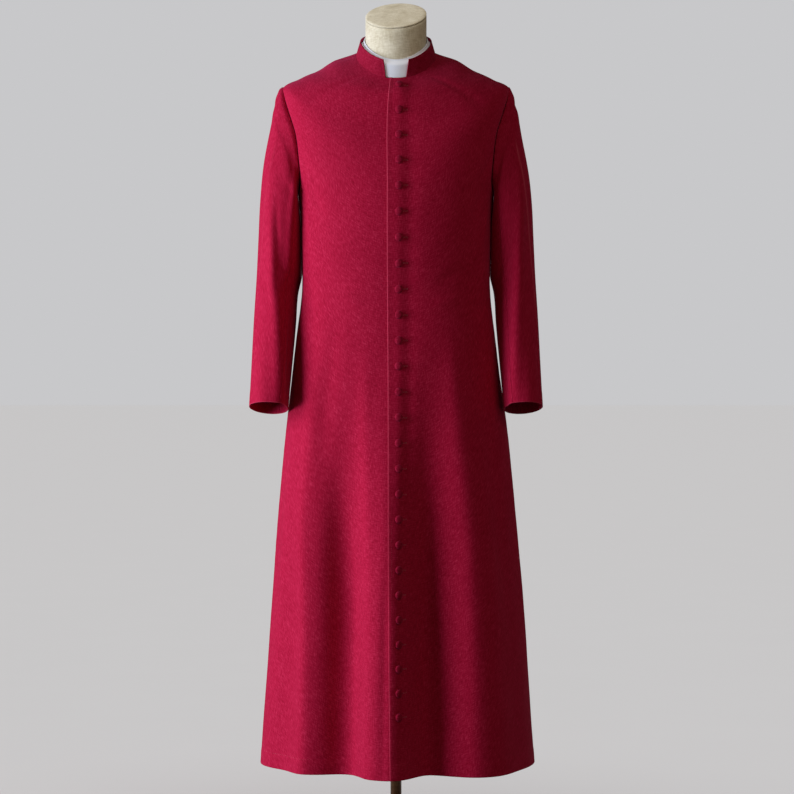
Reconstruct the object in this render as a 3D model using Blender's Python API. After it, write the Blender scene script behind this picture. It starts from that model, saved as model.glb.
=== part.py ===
"""A buttoned cassock on a limbless dress form, at real size.

Metres, +Z up. The origin is the centre of the stand's underside, the front faces -Y
and the wearer's left is +X. Every cloth piece is a thin wall on one of three surfaces:
the body (rings from the neck seam to the hem), the sleeve (rings from the armhole to
the cuff) and the collar band (the neck seam to the collar's top edge).
"""

import math
from collections import namedtuple

import bmesh
import bpy
import numpy as np
from mathutils import Vector

# ---- Driving dimensions -----------------------------------------------------------
CLOTH_WALL = 0.0016  # wool suiting with its turned seams
SEAM_GAP = 0.0005  # between two edges that are sewn together
SLEEVE_SEAM_GAP = 0.0007  # wider, because the sleeve's seams twist
LAP_CLEARANCE = 0.0009  # between the upper and the lower front where they lap
SLEEVE_CLEARANCE = 0.0017  # between a sleeve and the body that it lies against
PRESS_SOFTNESS = 0.0015  # how gradually a sleeve flattens where the body presses it

COLLAR_WALL = 0.0026  # interfaced and doubled
INSERT_WALL = 0.0012  # white collar band
INSERT_CLEARANCE = 0.0009  # between the white band and the collar
INSERT_PROUD = 0.0058  # the white band stands this far above the collar
INSERT_FOOT = 0.0016  # and starts this far above the neck seam, clear of the lap
NOTCH_HALF_TOP = 0.0245  # half the width of the collar's front notch, at its top
NOTCH_HALF_FOOT = 0.0198  # and at the neck seam

LAP_COLUMNS = (0.0, 0.0105, 0.0210, 0.0340)  # from the upper front's edge, into the lap
UNDERLAP_RAMP = (0.0092, 0.0020)  # the lower front sinks between these distances before it

BUTTON_COUNT = 26
BUTTON_DIAMETER = 0.0156
BUTTON_HEIGHT = 0.0056
BUTTON_SIDES = 10
BUTTON_GAP = 0.0008  # the length of thread under a button
BUTTON_TOP_Z = 1.5098
BUTTON_FOOT_Z = 0.2909
BUTTON_BOW = 0.0619  # how far the middle buttons sit below even spacing, times four
BUTTON_SWAY = 0.0437  # how much narrower the pitch is near the neck and near the hem
BUTTON_TOP_X = 0.0062
BUTTON_FOOT_X = 0.0038

NECK_RADIUS = 0.0610
NECK_CENTRE_Y = -0.0020
NECK_FOOT_RISE = 0.0070  # from the shoulders to the foot of the neck
NECK_CAP_CENTRE_Z = 1.6600
NECK_CAP_TILT = math.radians(29.0)  # the cut through the neck faces forward and up
NECK_CAP_ROLL = math.radians(3.5)
FORM_TOP_DOWN = 0.0120  # the form's shoulders start this far down from the neck seam
FORM_FOOT_Z = 0.8400
FORM_SIDES = 32
FORM_ROWS = 13
FORM_ROW_BIAS = 1.15  # over 1 puts the form's rings closer together at the shoulders
MESH_GAP = 0.0004  # between solid parts that rest on each other

POLE_RADIUS = 0.0110
POLE_IN_FORM = 0.0600
POLE_IN_BASE = 0.0300
POLE_SIDES = 20
BORE_CLEARANCE = 0.0005
BASE_RADIUS = 0.1900
BASE_EDGE_HEIGHT = 0.0100
BASE_CROWN_HEIGHT = 0.0170
BASE_CHAMFER = 0.0020
BASE_SIDES = 36
HUB_RADIUS = 0.0200
HUB_HEIGHT = 0.0520
HUB_FLARE = 0.0060  # height over which the base's crown rises into the hub

# ---- The body, ring by ring -------------------------------------------------------
# half_width, front and back are the ring's reach from the axis. side_z is its height at
# the sides. tilt raises it per metre towards the back, and the drops lower the middle
# of its front and back. square is 2 for an ellipse and more for a squarer ring. ease is
# the room between the cloth and the dress form.
BodyRing = namedtuple(
    "BodyRing", "name half_width front back side_z tilt front_drop back_drop square ease"
)
BODY_RINGS = (
    BodyRing("neck seam", 0.0800, 0.0810, 0.0740, 1.5820, 0.50, 0.0155, 0.0130, 2.0, 0.0060),
    BodyRing("mid shoulder", 0.1500, 0.1040, 0.1060, 1.5540, 0.25, 0.0330, 0.0090, 2.1, 0.0060),
    BodyRing("shoulder tip", 0.2230, 0.1210, 0.1230, 1.5180, 0.08, 0.0880, 0.0220, 2.1, 0.0040),
    BodyRing("armhole", 0.2125, 0.1340, 0.1320, 1.4200, 0.00, 0.0520, 0.0080, 2.25, 0.0080),
    BodyRing("low armhole", 0.2055, 0.1385, 0.1325, 1.3580, 0.00, 0.0250, 0.0030, 2.3, 0.0100),
    BodyRing("underarm", 0.1945, 0.1400, 0.1310, 1.3050, 0.00, 0.0060, 0.0000, 2.3, 0.0100),
    BodyRing("chest", 0.1895, 0.1370, 0.1230, 1.2150, 0.00, 0.0000, 0.0000, 2.25, 0.0120),
    BodyRing("waist", 0.1882, 0.1270, 0.1140, 1.1150, 0.00, 0.0000, 0.0000, 2.2, 0.0200),
    BodyRing("high hip", 0.1985, 0.1310, 0.1300, 1.0200, 0.00, 0.0000, 0.0000, 2.2, 0.0260),
    BodyRing("hip", 0.2155, 0.1480, 0.1500, 0.8700, 0.00, 0.0000, 0.0000, 2.15, 0.0300),
    BodyRing("thigh", 0.2340, 0.1760, 0.1790, 0.6900, 0.00, 0.0000, 0.0000, 2.1, 0.0300),
    BodyRing("knee", 0.2510, 0.2030, 0.2120, 0.4900, 0.00, 0.0000, 0.0000, 2.0, 0.0300),
    BodyRing("calf", 0.2625, 0.2230, 0.2380, 0.3300, 0.00, 0.0000, 0.0000, 2.0, 0.0300),
    BodyRing("hem", 0.2730, 0.2400, 0.2620, 0.1730, 0.00, 0.0000, 0.0000, 2.0, 0.0300),
)
TIP_RING = 2
UNDERARM_RING = 5
HIP_RING = 9
ROWS_TO_TIP = 4
ROWS_IN_ARMHOLE = 9
ROWS_BELOW_ARMHOLE = 17
FRONT_COLUMNS = 11
BACK_COLUMNS = 13

# Each fold is a soft cone below the waist. azimuth is in degrees from the front towards
# the wearer's left, spread is its half angle, depth is at the hem and is negative for a
# trough, and start_z and full_z are where it begins and reaches its depth.
Fold = namedtuple("Fold", "name azimuth spread depth start_z full_z")
FOLDS = (
    Fold("right front side", -58.0, 11.0, -0.014, 0.90, 0.25),
    Fold("right front trough", -25.0, 13.5, -0.048, 1.06, 0.38),
    Fold("front edge ridge", -4.0, 10.0, 0.014, 1.00, 0.38),
    Fold("left front trough", 16.5, 12.0, -0.054, 1.06, 0.38),
    Fold("left front ridge", 41.0, 13.0, 0.018, 0.95, 0.30),
    Fold("left side back", 116.0, 12.0, -0.024, 0.92, 0.30),
    Fold("left back trough", 146.0, 12.5, -0.044, 1.04, 0.38),
    Fold("centre back ridge", 168.0, 10.0, 0.014, 1.00, 0.34),
    Fold("centre back trough", 189.0, 12.0, -0.040, 1.05, 0.36),
    Fold("right back trough", 219.0, 12.5, -0.046, 1.02, 0.40),
    Fold("right side back", 247.0, 11.0, -0.020, 0.90, 0.28),
)

# The edge of the upper front, as x at each height.
EdgeRow = namedtuple("EdgeRow", "z x")
FRONT_EDGE = (
    EdgeRow(1.540, -0.0105),
    EdgeRow(1.480, -0.0160),
    EdgeRow(1.300, -0.0175),
    EdgeRow(0.900, -0.0160),
    EdgeRow(0.500, -0.0148),
    EdgeRow(0.173, -0.0118),
)

# The armhole's cut: turn is 0 at the shoulder tip and 1 at the underarm, and the angles
# are round the body from the front.
ArmholeRow = namedtuple("ArmholeRow", "turn front_angle back_angle")
ARMHOLE = (
    ArmholeRow(0.00, 90.0, 90.0),
    ArmholeRow(0.14, 82.5, 97.5),
    ArmholeRow(0.28, 75.5, 104.5),
    ArmholeRow(0.42, 69.5, 110.5),
    ArmholeRow(0.58, 67.5, 113.0),
    ArmholeRow(0.72, 69.5, 111.0),
    ArmholeRow(0.86, 77.0, 104.0),
    ArmholeRow(1.00, 90.0, 90.0),
)

# ---- The sleeve, ring by ring -----------------------------------------------------
# Each ring is an oval between an outer and an inner point, with its reach to the front
# and back from centre_y. tilt, in degrees, lifts the ring's front. like_armhole is the
# share of the armhole's own shape that the ring still has.
SleeveRing = namedtuple(
    "SleeveRing", "name outer_x outer_z inner_x inner_z centre_y front back tilt like_armhole"
)
SLEEVE_RINGS = (
    SleeveRing("head", 0.2375, 1.5040, 0.1964, 1.2950, 0.001, 0.0580, 0.0630, 0.0, 1.00),
    SleeveRing("cap", 0.2485, 1.4480, 0.1925, 1.2680, 0.001, 0.0660, 0.0710, 0.0, 0.70),
    SleeveRing("biceps", 0.2635, 1.3700, 0.1870, 1.2330, 0.002, 0.0700, 0.0745, 0.0, 0.35),
    SleeveRing("upper arm", 0.2720, 1.2850, 0.1850, 1.1900, 0.004, 0.0690, 0.0720, 0.0, 0.10),
    SleeveRing("over elbow", 0.2758, 1.2100, 0.1860, 1.1500, 0.008, 0.0655, 0.0680, 2.0, 0.00),
    SleeveRing("elbow", 0.2788, 1.1450, 0.1955, 1.1080, 0.006, 0.0625, 0.0645, 5.0, 0.00),
    SleeveRing("forearm", 0.2830, 1.0650, 0.1995, 1.0450, -0.008, 0.0595, 0.0605, 9.0, 0.00),
    SleeveRing("wrist", 0.2865, 0.9700, 0.2060, 0.9620, -0.034, 0.0570, 0.0570, 12.0, 0.00),
    SleeveRing("cuff", 0.2895, 0.8800, 0.2131, 0.8760, -0.060, 0.0540, 0.0540, 13.0, 0.00),
)
SLEEVE_ROWS = 20
SLEEVE_ROW_BIAS = 1.35  # over 1 puts the rows closer together at the sleeve's head
PRESSED_FROM = (0.005, 0.045)  # shares of the sleeve over which the body begins to press it
INNER_SEAM = 6  # step, of ROWS_IN_ARMHOLE, where the front and hind seams run
OUTER_SEAM_TURN = 0.16  # the third seam, down the outside of the arm

# ---- The collar's top edge --------------------------------------------------------
COLLAR_TOP = BodyRing(
    "collar top", 0.0712, 0.0765, 0.0690, 1.6120, 0.50, 0.0125, 0.0080, 2.0, 0.0
)
COLLAR_COLUMNS = 34
COLLAR_ROWS = 3

# ---- The cap over the neck, from its underside to its crown -----------------------
CapRow = namedtuple("CapRow", "radius_share height")
NECK_CAP_ROWS = (
    CapRow(0.985, 0.0000),
    CapRow(1.000, 0.0008),
    CapRow(0.985, 0.0022),
    CapRow(0.900, 0.0032),
    CapRow(0.600, 0.0060),
    CapRow(0.300, 0.0075),
)

CLOTH_RED = (0.300, 0.012, 0.045)
INSERT_WHITE = (0.80, 0.82, 0.86)
LINEN = (0.56, 0.51, 0.39)
STAND_BROWN = (0.075, 0.058, 0.035)

EPSILON = 1e-4


# ---- Curves through short tables --------------------------------------------------
def smooth(knots, values, at):
    """A cubic through the rows of a table; each slope comes from a row's neighbours."""
    knots = np.asarray(knots, float)
    values = np.asarray(values, float)
    at = np.asarray(at, float)
    slopes = np.gradient(values, knots)
    row, span, share = rows_around(knots, at)
    return cubic(values[row], values[row + 1], slopes[row], slopes[row + 1], span, share)


def fade(value, start, end):
    """0 at start, 1 at end, with flat ends."""
    s = np.clip((value - start) / (end - start), 0, 1)
    return s * s * (3 - 2 * s)


def column(rows, name):
    return np.array([getattr(row, name) for row in rows], float)


def cubic(before, after, slope_before, slope_after, span, share):
    """A value between two rows of a table that leaves each row at its slope."""
    ease_in = share * share * (3 - 2 * share)
    return (
        before * (1 - ease_in)
        + after * ease_in
        + slope_before * span * share * (1 - share) ** 2
        - slope_after * span * share * share * (1 - share)
    )


def rows_around(knots, at):
    """The row before each place, the span to the next one and the share of it."""
    row = np.clip(np.searchsorted(knots, at, side="right") - 1, 0, len(knots) - 2)
    span = knots[row + 1] - knots[row]
    return row, span, (at - knots[row]) / span


def signed_power(value, power):
    return np.sign(value) * np.abs(value) ** power


def distances(*lines):
    """Distance to each ring, as the mean of the distances along lines through them all."""
    steps = [np.linalg.norm(np.diff(line, axis=0), axis=1) for line in lines]
    return np.concatenate(([0.0], np.cumsum(np.mean(steps, axis=0))))


# ---- The body surface -------------------------------------------------------------
def body_distances():
    side = np.column_stack((column(BODY_RINGS, "half_width"), column(BODY_RINGS, "side_z")))
    reach = column(BODY_RINGS, "front")
    front_z = side[:, 1] - column(BODY_RINGS, "tilt") * reach - column(BODY_RINGS, "front_drop")
    return distances(side, np.column_stack((reach, front_z)))


DOWN = body_distances()
TIP_DOWN = DOWN[TIP_RING]
UNDERARM_DOWN = DOWN[UNDERARM_RING]
HIP_DOWN = DOWN[HIP_RING]
HEM_DOWN = DOWN[-1]


def body_value(name, down):
    return smooth(DOWN, column(BODY_RINGS, name), down)


def on_ring(angle, half_width, front, back, side_z, tilt, front_drop, back_drop, square):
    """A point of one ring, at an angle in radians from the front."""
    sine = np.sin(angle)
    cosine = np.cos(angle)
    x = half_width * signed_power(sine, 2 / square)
    y = -np.where(cosine > 0, front, back) * signed_power(cosine, 2 / square)
    drop = np.where(cosine > 0, front_drop, back_drop)
    z = side_z + tilt * y - drop * cosine**2
    return np.stack((x, y, z), axis=-1)


def fold_reach(angle, z):
    """How far the folds move the skirt outwards."""
    degrees = np.degrees(angle)
    reach = np.zeros(np.broadcast(angle, z).shape)
    for fold in FOLDS:
        turn = (degrees - fold.azimuth + 180) % 360 - 180
        reach += (
            fold.depth
            * np.exp(-((turn / fold.spread) ** 2))
            * fade(z, fold.start_z, fold.full_z)
        )
    return reach


def body(angle, down, folded=True):
    """The cloth's outer surface."""
    names = BodyRing._fields[1:-1]
    point = on_ring(angle, *(body_value(name, down) for name in names))
    if folded:
        reach = fold_reach(angle, point[..., 2])
        point[..., 0] += reach * np.sin(angle)
        point[..., 1] -= reach * np.cos(angle)
    return point


def angle_at_x(x, down):
    """The angle near the front where a ring has this x."""
    half_width = body_value("half_width", down)
    square = body_value("square", down)
    return np.arcsin(signed_power(x / half_width, square / 2))


def front_edge_x(down):
    z = body(np.zeros_like(down), down)[..., 2]
    rows = FRONT_EDGE[::-1]
    return smooth(column(rows, "z"), column(rows, "x"), np.clip(z, rows[0].z, rows[-1].z))


def lower_front(angle, down):
    """The body's surface for the front that goes under: it sinks where it is lapped."""
    point = body(angle, down)
    before_edge = front_edge_x(down) - point[..., 0]
    sunk = fade(before_edge, *UNDERLAP_RAMP) * (CLOTH_WALL + LAP_CLEARANCE)
    return point - outward(body, angle, down, False) * sunk[..., None]


def armhole_angle(down, side):
    """Where a panel ends: at the side seam, or at the armhole where there is one."""
    share = np.clip((down - TIP_DOWN) / (UNDERARM_DOWN - TIP_DOWN), 0, 1)
    turn = np.arccos(1 - 2 * share) / math.pi
    return np.radians(smooth(column(ARMHOLE, "turn"), column(ARMHOLE, side), turn))


def beside_armhole(turn):
    """Distance down the cloth at a turn round the armhole, as on an oval."""
    return TIP_DOWN + (1 - np.cos(turn * math.pi)) / 2 * (UNDERARM_DOWN - TIP_DOWN)


# ---- The sleeve surface -----------------------------------------------------------
def sleeve_distances():
    """Shares of the way from the armhole to the cuff, along the outer and inner lines."""
    tip = BODY_RINGS[TIP_RING]
    underarm = BODY_RINGS[UNDERARM_RING]
    outer = [(tip.half_width, tip.side_z)] + [(row.outer_x, row.outer_z) for row in SLEEVE_RINGS]
    inner = [(underarm.half_width, underarm.side_z)]
    inner += [(row.inner_x, row.inner_z) for row in SLEEVE_RINGS]
    along = distances(np.array(outer), np.array(inner))
    return along / along[-1]


SLEEVE_DOWN = sleeve_distances()


def armhole_loop(turn):
    """turn is 0 at the shoulder tip, 1 at the underarm past the front, -1 past the back."""
    down = beside_armhole(turn)
    front = body(armhole_angle(down, "front_angle"), down)
    back = body(armhole_angle(down, "back_angle"), down)
    point = np.where((turn > 0)[..., None], front, back)
    point[..., 0] += SEAM_GAP
    return point


def sleeve_ring(row, turn):
    """One ring: an oval, mixed with the armhole's shape carried to the ring's place."""
    angle = turn * math.pi
    outer = np.array((row.outer_x, 0, row.outer_z))
    inner = np.array((row.inner_x, 0, row.inner_z))
    centre = (outer + inner) / 2 + np.array((0, row.centre_y, 0))
    lift = math.radians(row.tilt)
    forward = np.array((0, -math.cos(lift), math.sin(lift)))
    reach = np.where(turn > 0, row.front, row.back) * np.sin(angle)
    oval = centre + np.cos(angle)[..., None] * (outer - inner) / 2 + reach[..., None] * forward
    tip, underarm, front, back = armhole_loop(np.array((0, 1, 0.5, -0.5)))
    near_tip = ((1 + np.cos(angle)) / 2)[..., None]
    carried = armhole_loop(turn)
    carried[..., 1] *= np.where(turn > 0, -row.front / front[1], row.back / back[1])
    carried += (outer - tip) * near_tip + (inner - underarm) * (1 - near_tip)
    return oval + (carried - oval) * row.like_armhole


def body_side_x(y, z):
    """The body's half width at a place beside it, below the armhole."""
    down = smooth(-column(BODY_RINGS, "side_z"), DOWN, -z)
    reach = np.where(y < 0, body_value("front", down), body_value("back", down))
    square = body_value("square", down)
    inside = np.clip(1 - np.abs(y / reach) ** square, 0, 1)
    return body_value("half_width", down) * inside ** (1 / square)


def keep_off_body(point, down):
    """Flattens the sleeve where it would enter the body, once past the armhole."""
    nearest = body_side_x(point[..., 1], point[..., 2]) + SLEEVE_CLEARANCE
    over = (point[..., 0] - nearest) / PRESS_SOFTNESS
    pressed = nearest + PRESS_SOFTNESS * np.exp(np.minimum(over, 1) - 1)
    clear = fade(down, *PRESSED_FROM)
    point[..., 0] += np.where(over < 1, (pressed - point[..., 0]) * clear, 0)
    return point


def sleeve(turn, down):
    """The left sleeve's outer surface; down is 0 at the armhole and 1 at the cuff."""
    turn, down = np.broadcast_arrays(np.asarray(turn, float), np.asarray(down, float))
    rings = np.array([armhole_loop(turn)] + [sleeve_ring(row, turn) for row in SLEEVE_RINGS])
    slopes = np.gradient(rings, SLEEVE_DOWN, axis=0)
    row, span, share = rows_around(SLEEVE_DOWN, down)
    here = (row, *np.indices(turn.shape))
    below = (row + 1, *np.indices(turn.shape))
    point = cubic(
        rings[here], rings[below], slopes[here], slopes[below], span[..., None], share[..., None]
    )
    return keep_off_body(point, down)


# ---- The collar surface -----------------------------------------------------------
def collar(angle, up):
    """The collar's outer surface; up is 0 at the neck seam and 1 at the top edge."""
    names = BodyRing._fields[1:-1]
    foot = on_ring(angle, *(getattr(BODY_RINGS[0], name) for name in names))
    top = on_ring(angle, *(getattr(COLLAR_TOP, name) for name in names))
    up = np.asarray(up, float)[..., None]
    return foot + (top - foot) * up


def collar_height():
    front = collar(np.array(0.0), np.array([0.0, 1.0]))
    return float(np.linalg.norm(front[1] - front[0]))


# ---- Meshes -----------------------------------------------------------------------
def material(name, colour, roughness, metallic=0.0, sheen=0.0):
    made = bpy.data.materials.new(name)
    made.use_nodes = True
    shader = made.node_tree.nodes["Principled BSDF"]
    shader.inputs["Base Color"].default_value = (*colour, 1)
    shader.inputs["Roughness"].default_value = roughness
    shader.inputs["Metallic"].default_value = metallic
    shader.inputs["Sheen Weight"].default_value = sheen
    return made


def add_object(name, points, faces, finish, smooth_angle=math.radians(40)):
    """A closed mesh with its faces turned outwards."""
    mesh = bpy.data.meshes.new(name)
    made = bmesh.new()
    vertices = [made.verts.new(point) for point in points]
    for face in faces:
        made.faces.new([vertices[i] for i in face])
    bmesh.ops.recalc_face_normals(made, faces=made.faces)
    made.to_mesh(mesh)
    made.free()
    mesh.shade_smooth()
    mesh.set_sharp_from_angle(angle=smooth_angle)
    mesh.materials.append(finish)
    thing = bpy.data.objects.new(name, mesh)
    bpy.context.collection.objects.link(thing)
    return thing


def outward(surface, across, down, turned):
    """Unit normals of a surface, from small steps each way."""
    step_across = surface(across + EPSILON, down) - surface(across - EPSILON, down)
    step_down = surface(across, down + EPSILON) - surface(across, down - EPSILON)
    normal = np.cross(step_down, step_across)
    normal /= np.linalg.norm(normal, axis=-1, keepdims=True)
    return -normal if turned else normal


def grid_faces(rows, columns, offset, ring):
    """Four-sided faces of a grid; ring joins its last column to its first."""
    last = columns if ring else columns - 1
    return [
        (
            offset + r * columns + c,
            offset + r * columns + (c + 1) % columns,
            offset + (r + 1) * columns + (c + 1) % columns,
            offset + (r + 1) * columns + c,
        )
        for r in range(rows - 1)
        for c in range(last)
    ]


def wall(name, outer, inner, finish, ring=False, mirrored=False):
    """A cloth piece: two grids of points and the rim between them."""
    rows, columns = outer.shape[:2]
    count = rows * columns
    points = np.concatenate((outer.reshape(-1, 3), inner.reshape(-1, 3)))
    if mirrored:
        points = points * (-1, 1, 1)
    faces = grid_faces(rows, columns, 0, ring) + grid_faces(rows, columns, count, ring)
    if ring:
        top = list(range(columns)) + [0]
        foot = [(rows - 1) * columns + c for c in top]
        edges = list(zip(top, top[1:])) + list(zip(foot, foot[1:]))
    else:
        border = (
            list(range(columns))
            + [r * columns + columns - 1 for r in range(1, rows)]
            + [(rows - 1) * columns + c for c in range(columns - 2, -1, -1)]
            + [r * columns for r in range(rows - 2, -1, -1)]
        )
        edges = list(zip(border, border[1:]))
    faces += [(a, b, b + count, a + count) for a, b in edges]
    return add_object(name, points.tolist(), faces, finish)


def trimmed(grid, sides, gap):
    """Draws the named borders of a grid back, square to themselves, by half a seam's gap."""
    grid = grid.copy()
    ends = {"first": (0, 1), "last": (-1, -2)}
    for side in sides:
        edge, next_in = ends[side]
        back = grid[:, next_in] - grid[:, edge]
        along = np.gradient(grid[:, edge], axis=0)
        along /= np.linalg.norm(along, axis=-1, keepdims=True)
        back -= along * (back * along).sum(axis=-1, keepdims=True)
        length = np.linalg.norm(back, axis=-1, keepdims=True)
        grid[:, edge] += back / length * gap / 2
    return grid


def cloth_panel(name, surface, across, down, sides, finish, **options):
    """A piece of the cassock's cloth on one of the surfaces."""
    turned = options.pop("turned", False)
    gap = options.pop("gap", SEAM_GAP)
    outer = surface(across, down)
    inner = outer - outward(surface, across, down, turned) * CLOTH_WALL
    return wall(name, trimmed(outer, sides, gap), trimmed(inner, sides, gap), finish, **options)


def loft(name, rings, finish):
    """A solid through closed rings, each with the same number of points."""
    rows = len(rings)
    columns = len(rings[0])
    points = np.concatenate(rings)
    faces = grid_faces(rows, columns, 0, True)
    faces.append(tuple(range(columns)))
    faces.append(tuple((rows - 1) * columns + c for c in range(columns)))
    return add_object(name, points.tolist(), faces, finish)


def lathe(name, profile, segments, finish, place=(0, 0, 0), axis=(0, 0, 1)):
    """A turned solid: profile holds (radius, height) from the middle of one end to the
    middle of the other, so its first and last radius are 0."""
    axis = np.array(axis, float) / np.linalg.norm(axis)
    side = np.cross(axis, (1, 0, 0) if abs(axis[0]) < 0.7 else (0, 1, 0))
    side /= np.linalg.norm(side)
    other = np.cross(axis, side)
    turns = np.linspace(0, 2 * math.pi, segments, endpoint=False)
    points = [np.array(place) + axis * profile[0][1]]
    for radius, height in profile[1:-1]:
        for turn in turns:
            spoke = side * math.cos(turn) + other * math.sin(turn)
            points.append(np.array(place) + axis * height + spoke * radius)
    points.append(np.array(place) + axis * profile[-1][1])
    rings = len(profile) - 2
    faces = grid_faces(rings, segments, 1, True)
    end = len(points) - 1
    for c in range(segments):
        after = (c + 1) % segments
        faces.append((0, 1 + c, 1 + after))
        faces.append((end, end - segments + c, end - segments + after))
    return add_object(name, [point.tolist() for point in points], faces, finish)


# ---- The cassock ------------------------------------------------------------------
def body_rows():
    """Distances down the cloth of the panels' rows of points."""
    above = np.linspace(0, TIP_DOWN, ROWS_TO_TIP, endpoint=False)
    beside = beside_armhole(np.linspace(0, 1, ROWS_IN_ARMHOLE, endpoint=False))
    below = np.linspace(UNDERARM_DOWN, HEM_DOWN, ROWS_BELOW_ARMHOLE + 1)
    return np.concatenate((above, beside, below))[:, None]


def lap_angles(down):
    """The columns that both fronts share where they lap."""
    edge = front_edge_x(down)
    return np.concatenate([angle_at_x(edge + past, down) for past in LAP_COLUMNS], axis=1)


def spaced(start, end, count):
    """Columns between two columns of angles, without its ends."""
    share = np.linspace(0, 1, count + 1)[1:-1]
    return start + (end - start) * share


def make_fronts(finish):
    down = body_rows()
    lap = lap_angles(down)
    seam = armhole_angle(down, "front_angle")
    upper = np.concatenate((lap, spaced(lap[:, -1:], seam, FRONT_COLUMNS), seam), axis=1)
    upper_front = cloth_panel("front_left", body, upper, down, ["last"], finish)
    ramp = angle_at_x(front_edge_x(down) - UNDERLAP_RAMP[1], down)
    lead = angle_at_x(front_edge_x(down) - UNDERLAP_RAMP[0], down)
    lower = np.concatenate((-seam, spaced(-seam, lead, FRONT_COLUMNS), lead, ramp, lap), axis=1)
    cloth_panel("front_right", lower_front, lower, down, ["first"], finish)
    return upper_front


def make_backs(finish):
    down = body_rows()
    seam = armhole_angle(down, "back_angle")
    centre = np.full_like(seam, math.pi)
    left = np.concatenate((seam, spaced(seam, centre, BACK_COLUMNS), centre), axis=1)
    right = 2 * math.pi - left[:, ::-1]
    cloth_panel("back_left", body, left, down, ["first", "last"], finish)
    cloth_panel("back_right", body, right, down, ["first", "last"], finish)


def make_sleeves(finish):
    down = np.linspace(0, 1, SLEEVE_ROWS)[:, None] ** SLEEVE_ROW_BIAS
    turn = np.arange(-INNER_SEAM, 2 * ROWS_IN_ARMHOLE - INNER_SEAM + 1) / ROWS_IN_ARMHOLE
    top = turn[: 2 * INNER_SEAM + 1]
    pieces = {
        "front": np.concatenate(([OUTER_SEAM_TURN], top[top > OUTER_SEAM_TURN])),
        "back": np.concatenate((top[top < OUTER_SEAM_TURN], [OUTER_SEAM_TURN])),
        "under": turn[2 * INNER_SEAM :],
    }
    for piece, turns in pieces.items():
        across = np.tile(turns, (SLEEVE_ROWS, 1))
        rows = np.broadcast_to(down, across.shape)
        for side, mirrored in (("left", False), ("right", True)):
            cloth_panel(
                f"sleeve_{side}_{piece}",
                wrapped_sleeve,
                across,
                rows,
                ["first", "last"],
                finish,
                gap=SLEEVE_SEAM_GAP,
                turned=True,
                mirrored=mirrored,
            )


def wrapped_sleeve(turn, down):
    """The sleeve surface, for turns that run on past the inner point."""
    return sleeve((turn + 1) % 2 - 1, np.clip(down, 0, 1))


def make_collar(finish):
    share = np.linspace(1, 0, COLLAR_ROWS)[:, None]
    notch = NOTCH_HALF_FOOT + (NOTCH_HALF_TOP - NOTCH_HALF_FOOT) * share
    foot_width = BODY_RINGS[0].half_width
    half_width = foot_width + (COLLAR_TOP.half_width - foot_width) * share
    start = np.arcsin(notch / half_width)
    across = start + (2 * math.pi - 2 * start) * np.linspace(0, 1, COLLAR_COLUMNS)
    foot = SEAM_GAP / collar_height()
    up = foot + (1 - foot) * np.broadcast_to(share, across.shape)
    outer = collar(across, up)
    inner = outer - collar_outward(across, up) * COLLAR_WALL
    wall("collar", outer, inner, finish)


def collar_outward(across, up):
    return outward(collar, across, up, True)


def make_insert(finish):
    low = INSERT_FOOT / collar_height()
    high = 1 + INSERT_PROUD / collar_height()
    up = np.linspace(high, low, COLLAR_ROWS)[:, None]
    turns = np.linspace(0, 2 * math.pi, COLLAR_COLUMNS, endpoint=False)
    across = np.tile(turns, (COLLAR_ROWS, 1))
    up = np.broadcast_to(up, across.shape)
    normal = collar_outward(across, up)
    outer = collar(across, up) - normal * (COLLAR_WALL + INSERT_CLEARANCE)
    wall("collar_insert", outer, outer - normal * INSERT_WALL, finish, ring=True)


def button_places(upper_front):
    """Each button's centre and axis on the upper front, found from straight ahead."""
    share = np.arange(BUTTON_COUNT) / (BUTTON_COUNT - 1)
    heights = BUTTON_TOP_Z + (BUTTON_FOOT_Z - BUTTON_TOP_Z) * share
    heights -= share * (1 - share) * (BUTTON_BOW - BUTTON_SWAY * (1 - 2 * share))
    across = BUTTON_TOP_X + (BUTTON_FOOT_X - BUTTON_TOP_X) * share
    for x, z in zip(across, heights):
        _, centre, axis, _ = upper_front.ray_cast(Vector((x, -1, z)), Vector((0, 1, 0)))
        yield np.array(centre), np.array(axis)


def make_buttons(upper_front, finish):
    radius = BUTTON_DIAMETER / 2
    profile = (
        (0.0, 0.0),
        (radius * 0.80, 0.0),
        (radius, BUTTON_HEIGHT * 0.36),
        (radius * 0.66, BUTTON_HEIGHT * 0.86),
        (0.0, BUTTON_HEIGHT),
    )
    for number, (centre, axis) in enumerate(button_places(upper_front), start=1):
        lathe(
            f"button_{number:02d}",
            profile,
            BUTTON_SIDES,
            finish,
            place=centre + axis * BUTTON_GAP,
            axis=axis,
        )


# ---- The dress form and its stand -------------------------------------------------
def form_ring(down, count):
    """The dress form's section: the unfolded cloth, moved in by its wall and its ease."""
    angle = np.linspace(0, 2 * math.pi, count, endpoint=False)
    down = np.full_like(angle, down)

    def unfolded(across, along):
        return body(across, along, folded=False)

    inset = CLOTH_WALL + body_value("ease", down)
    return unfolded(angle, down) - outward(unfolded, angle, down, False) * inset[:, None]


def circle(radius, z, count, centre_y=0.0):
    angle = np.linspace(0, 2 * math.pi, count, endpoint=False)
    return np.column_stack(
        (radius * np.sin(angle), centre_y - radius * np.cos(angle), np.full(count, z))
    )


def neck_cut(points, above=0.0):
    """Lifts a ring round the neck onto the slanted cut across its top."""
    lifted = points.copy()
    lifted[:, 2] = (
        NECK_CAP_CENTRE_Z
        + math.tan(NECK_CAP_TILT) * (points[:, 1] - NECK_CENTRE_Y)
        + math.tan(NECK_CAP_ROLL) * points[:, 0]
        + above
    )
    return lifted


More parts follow.
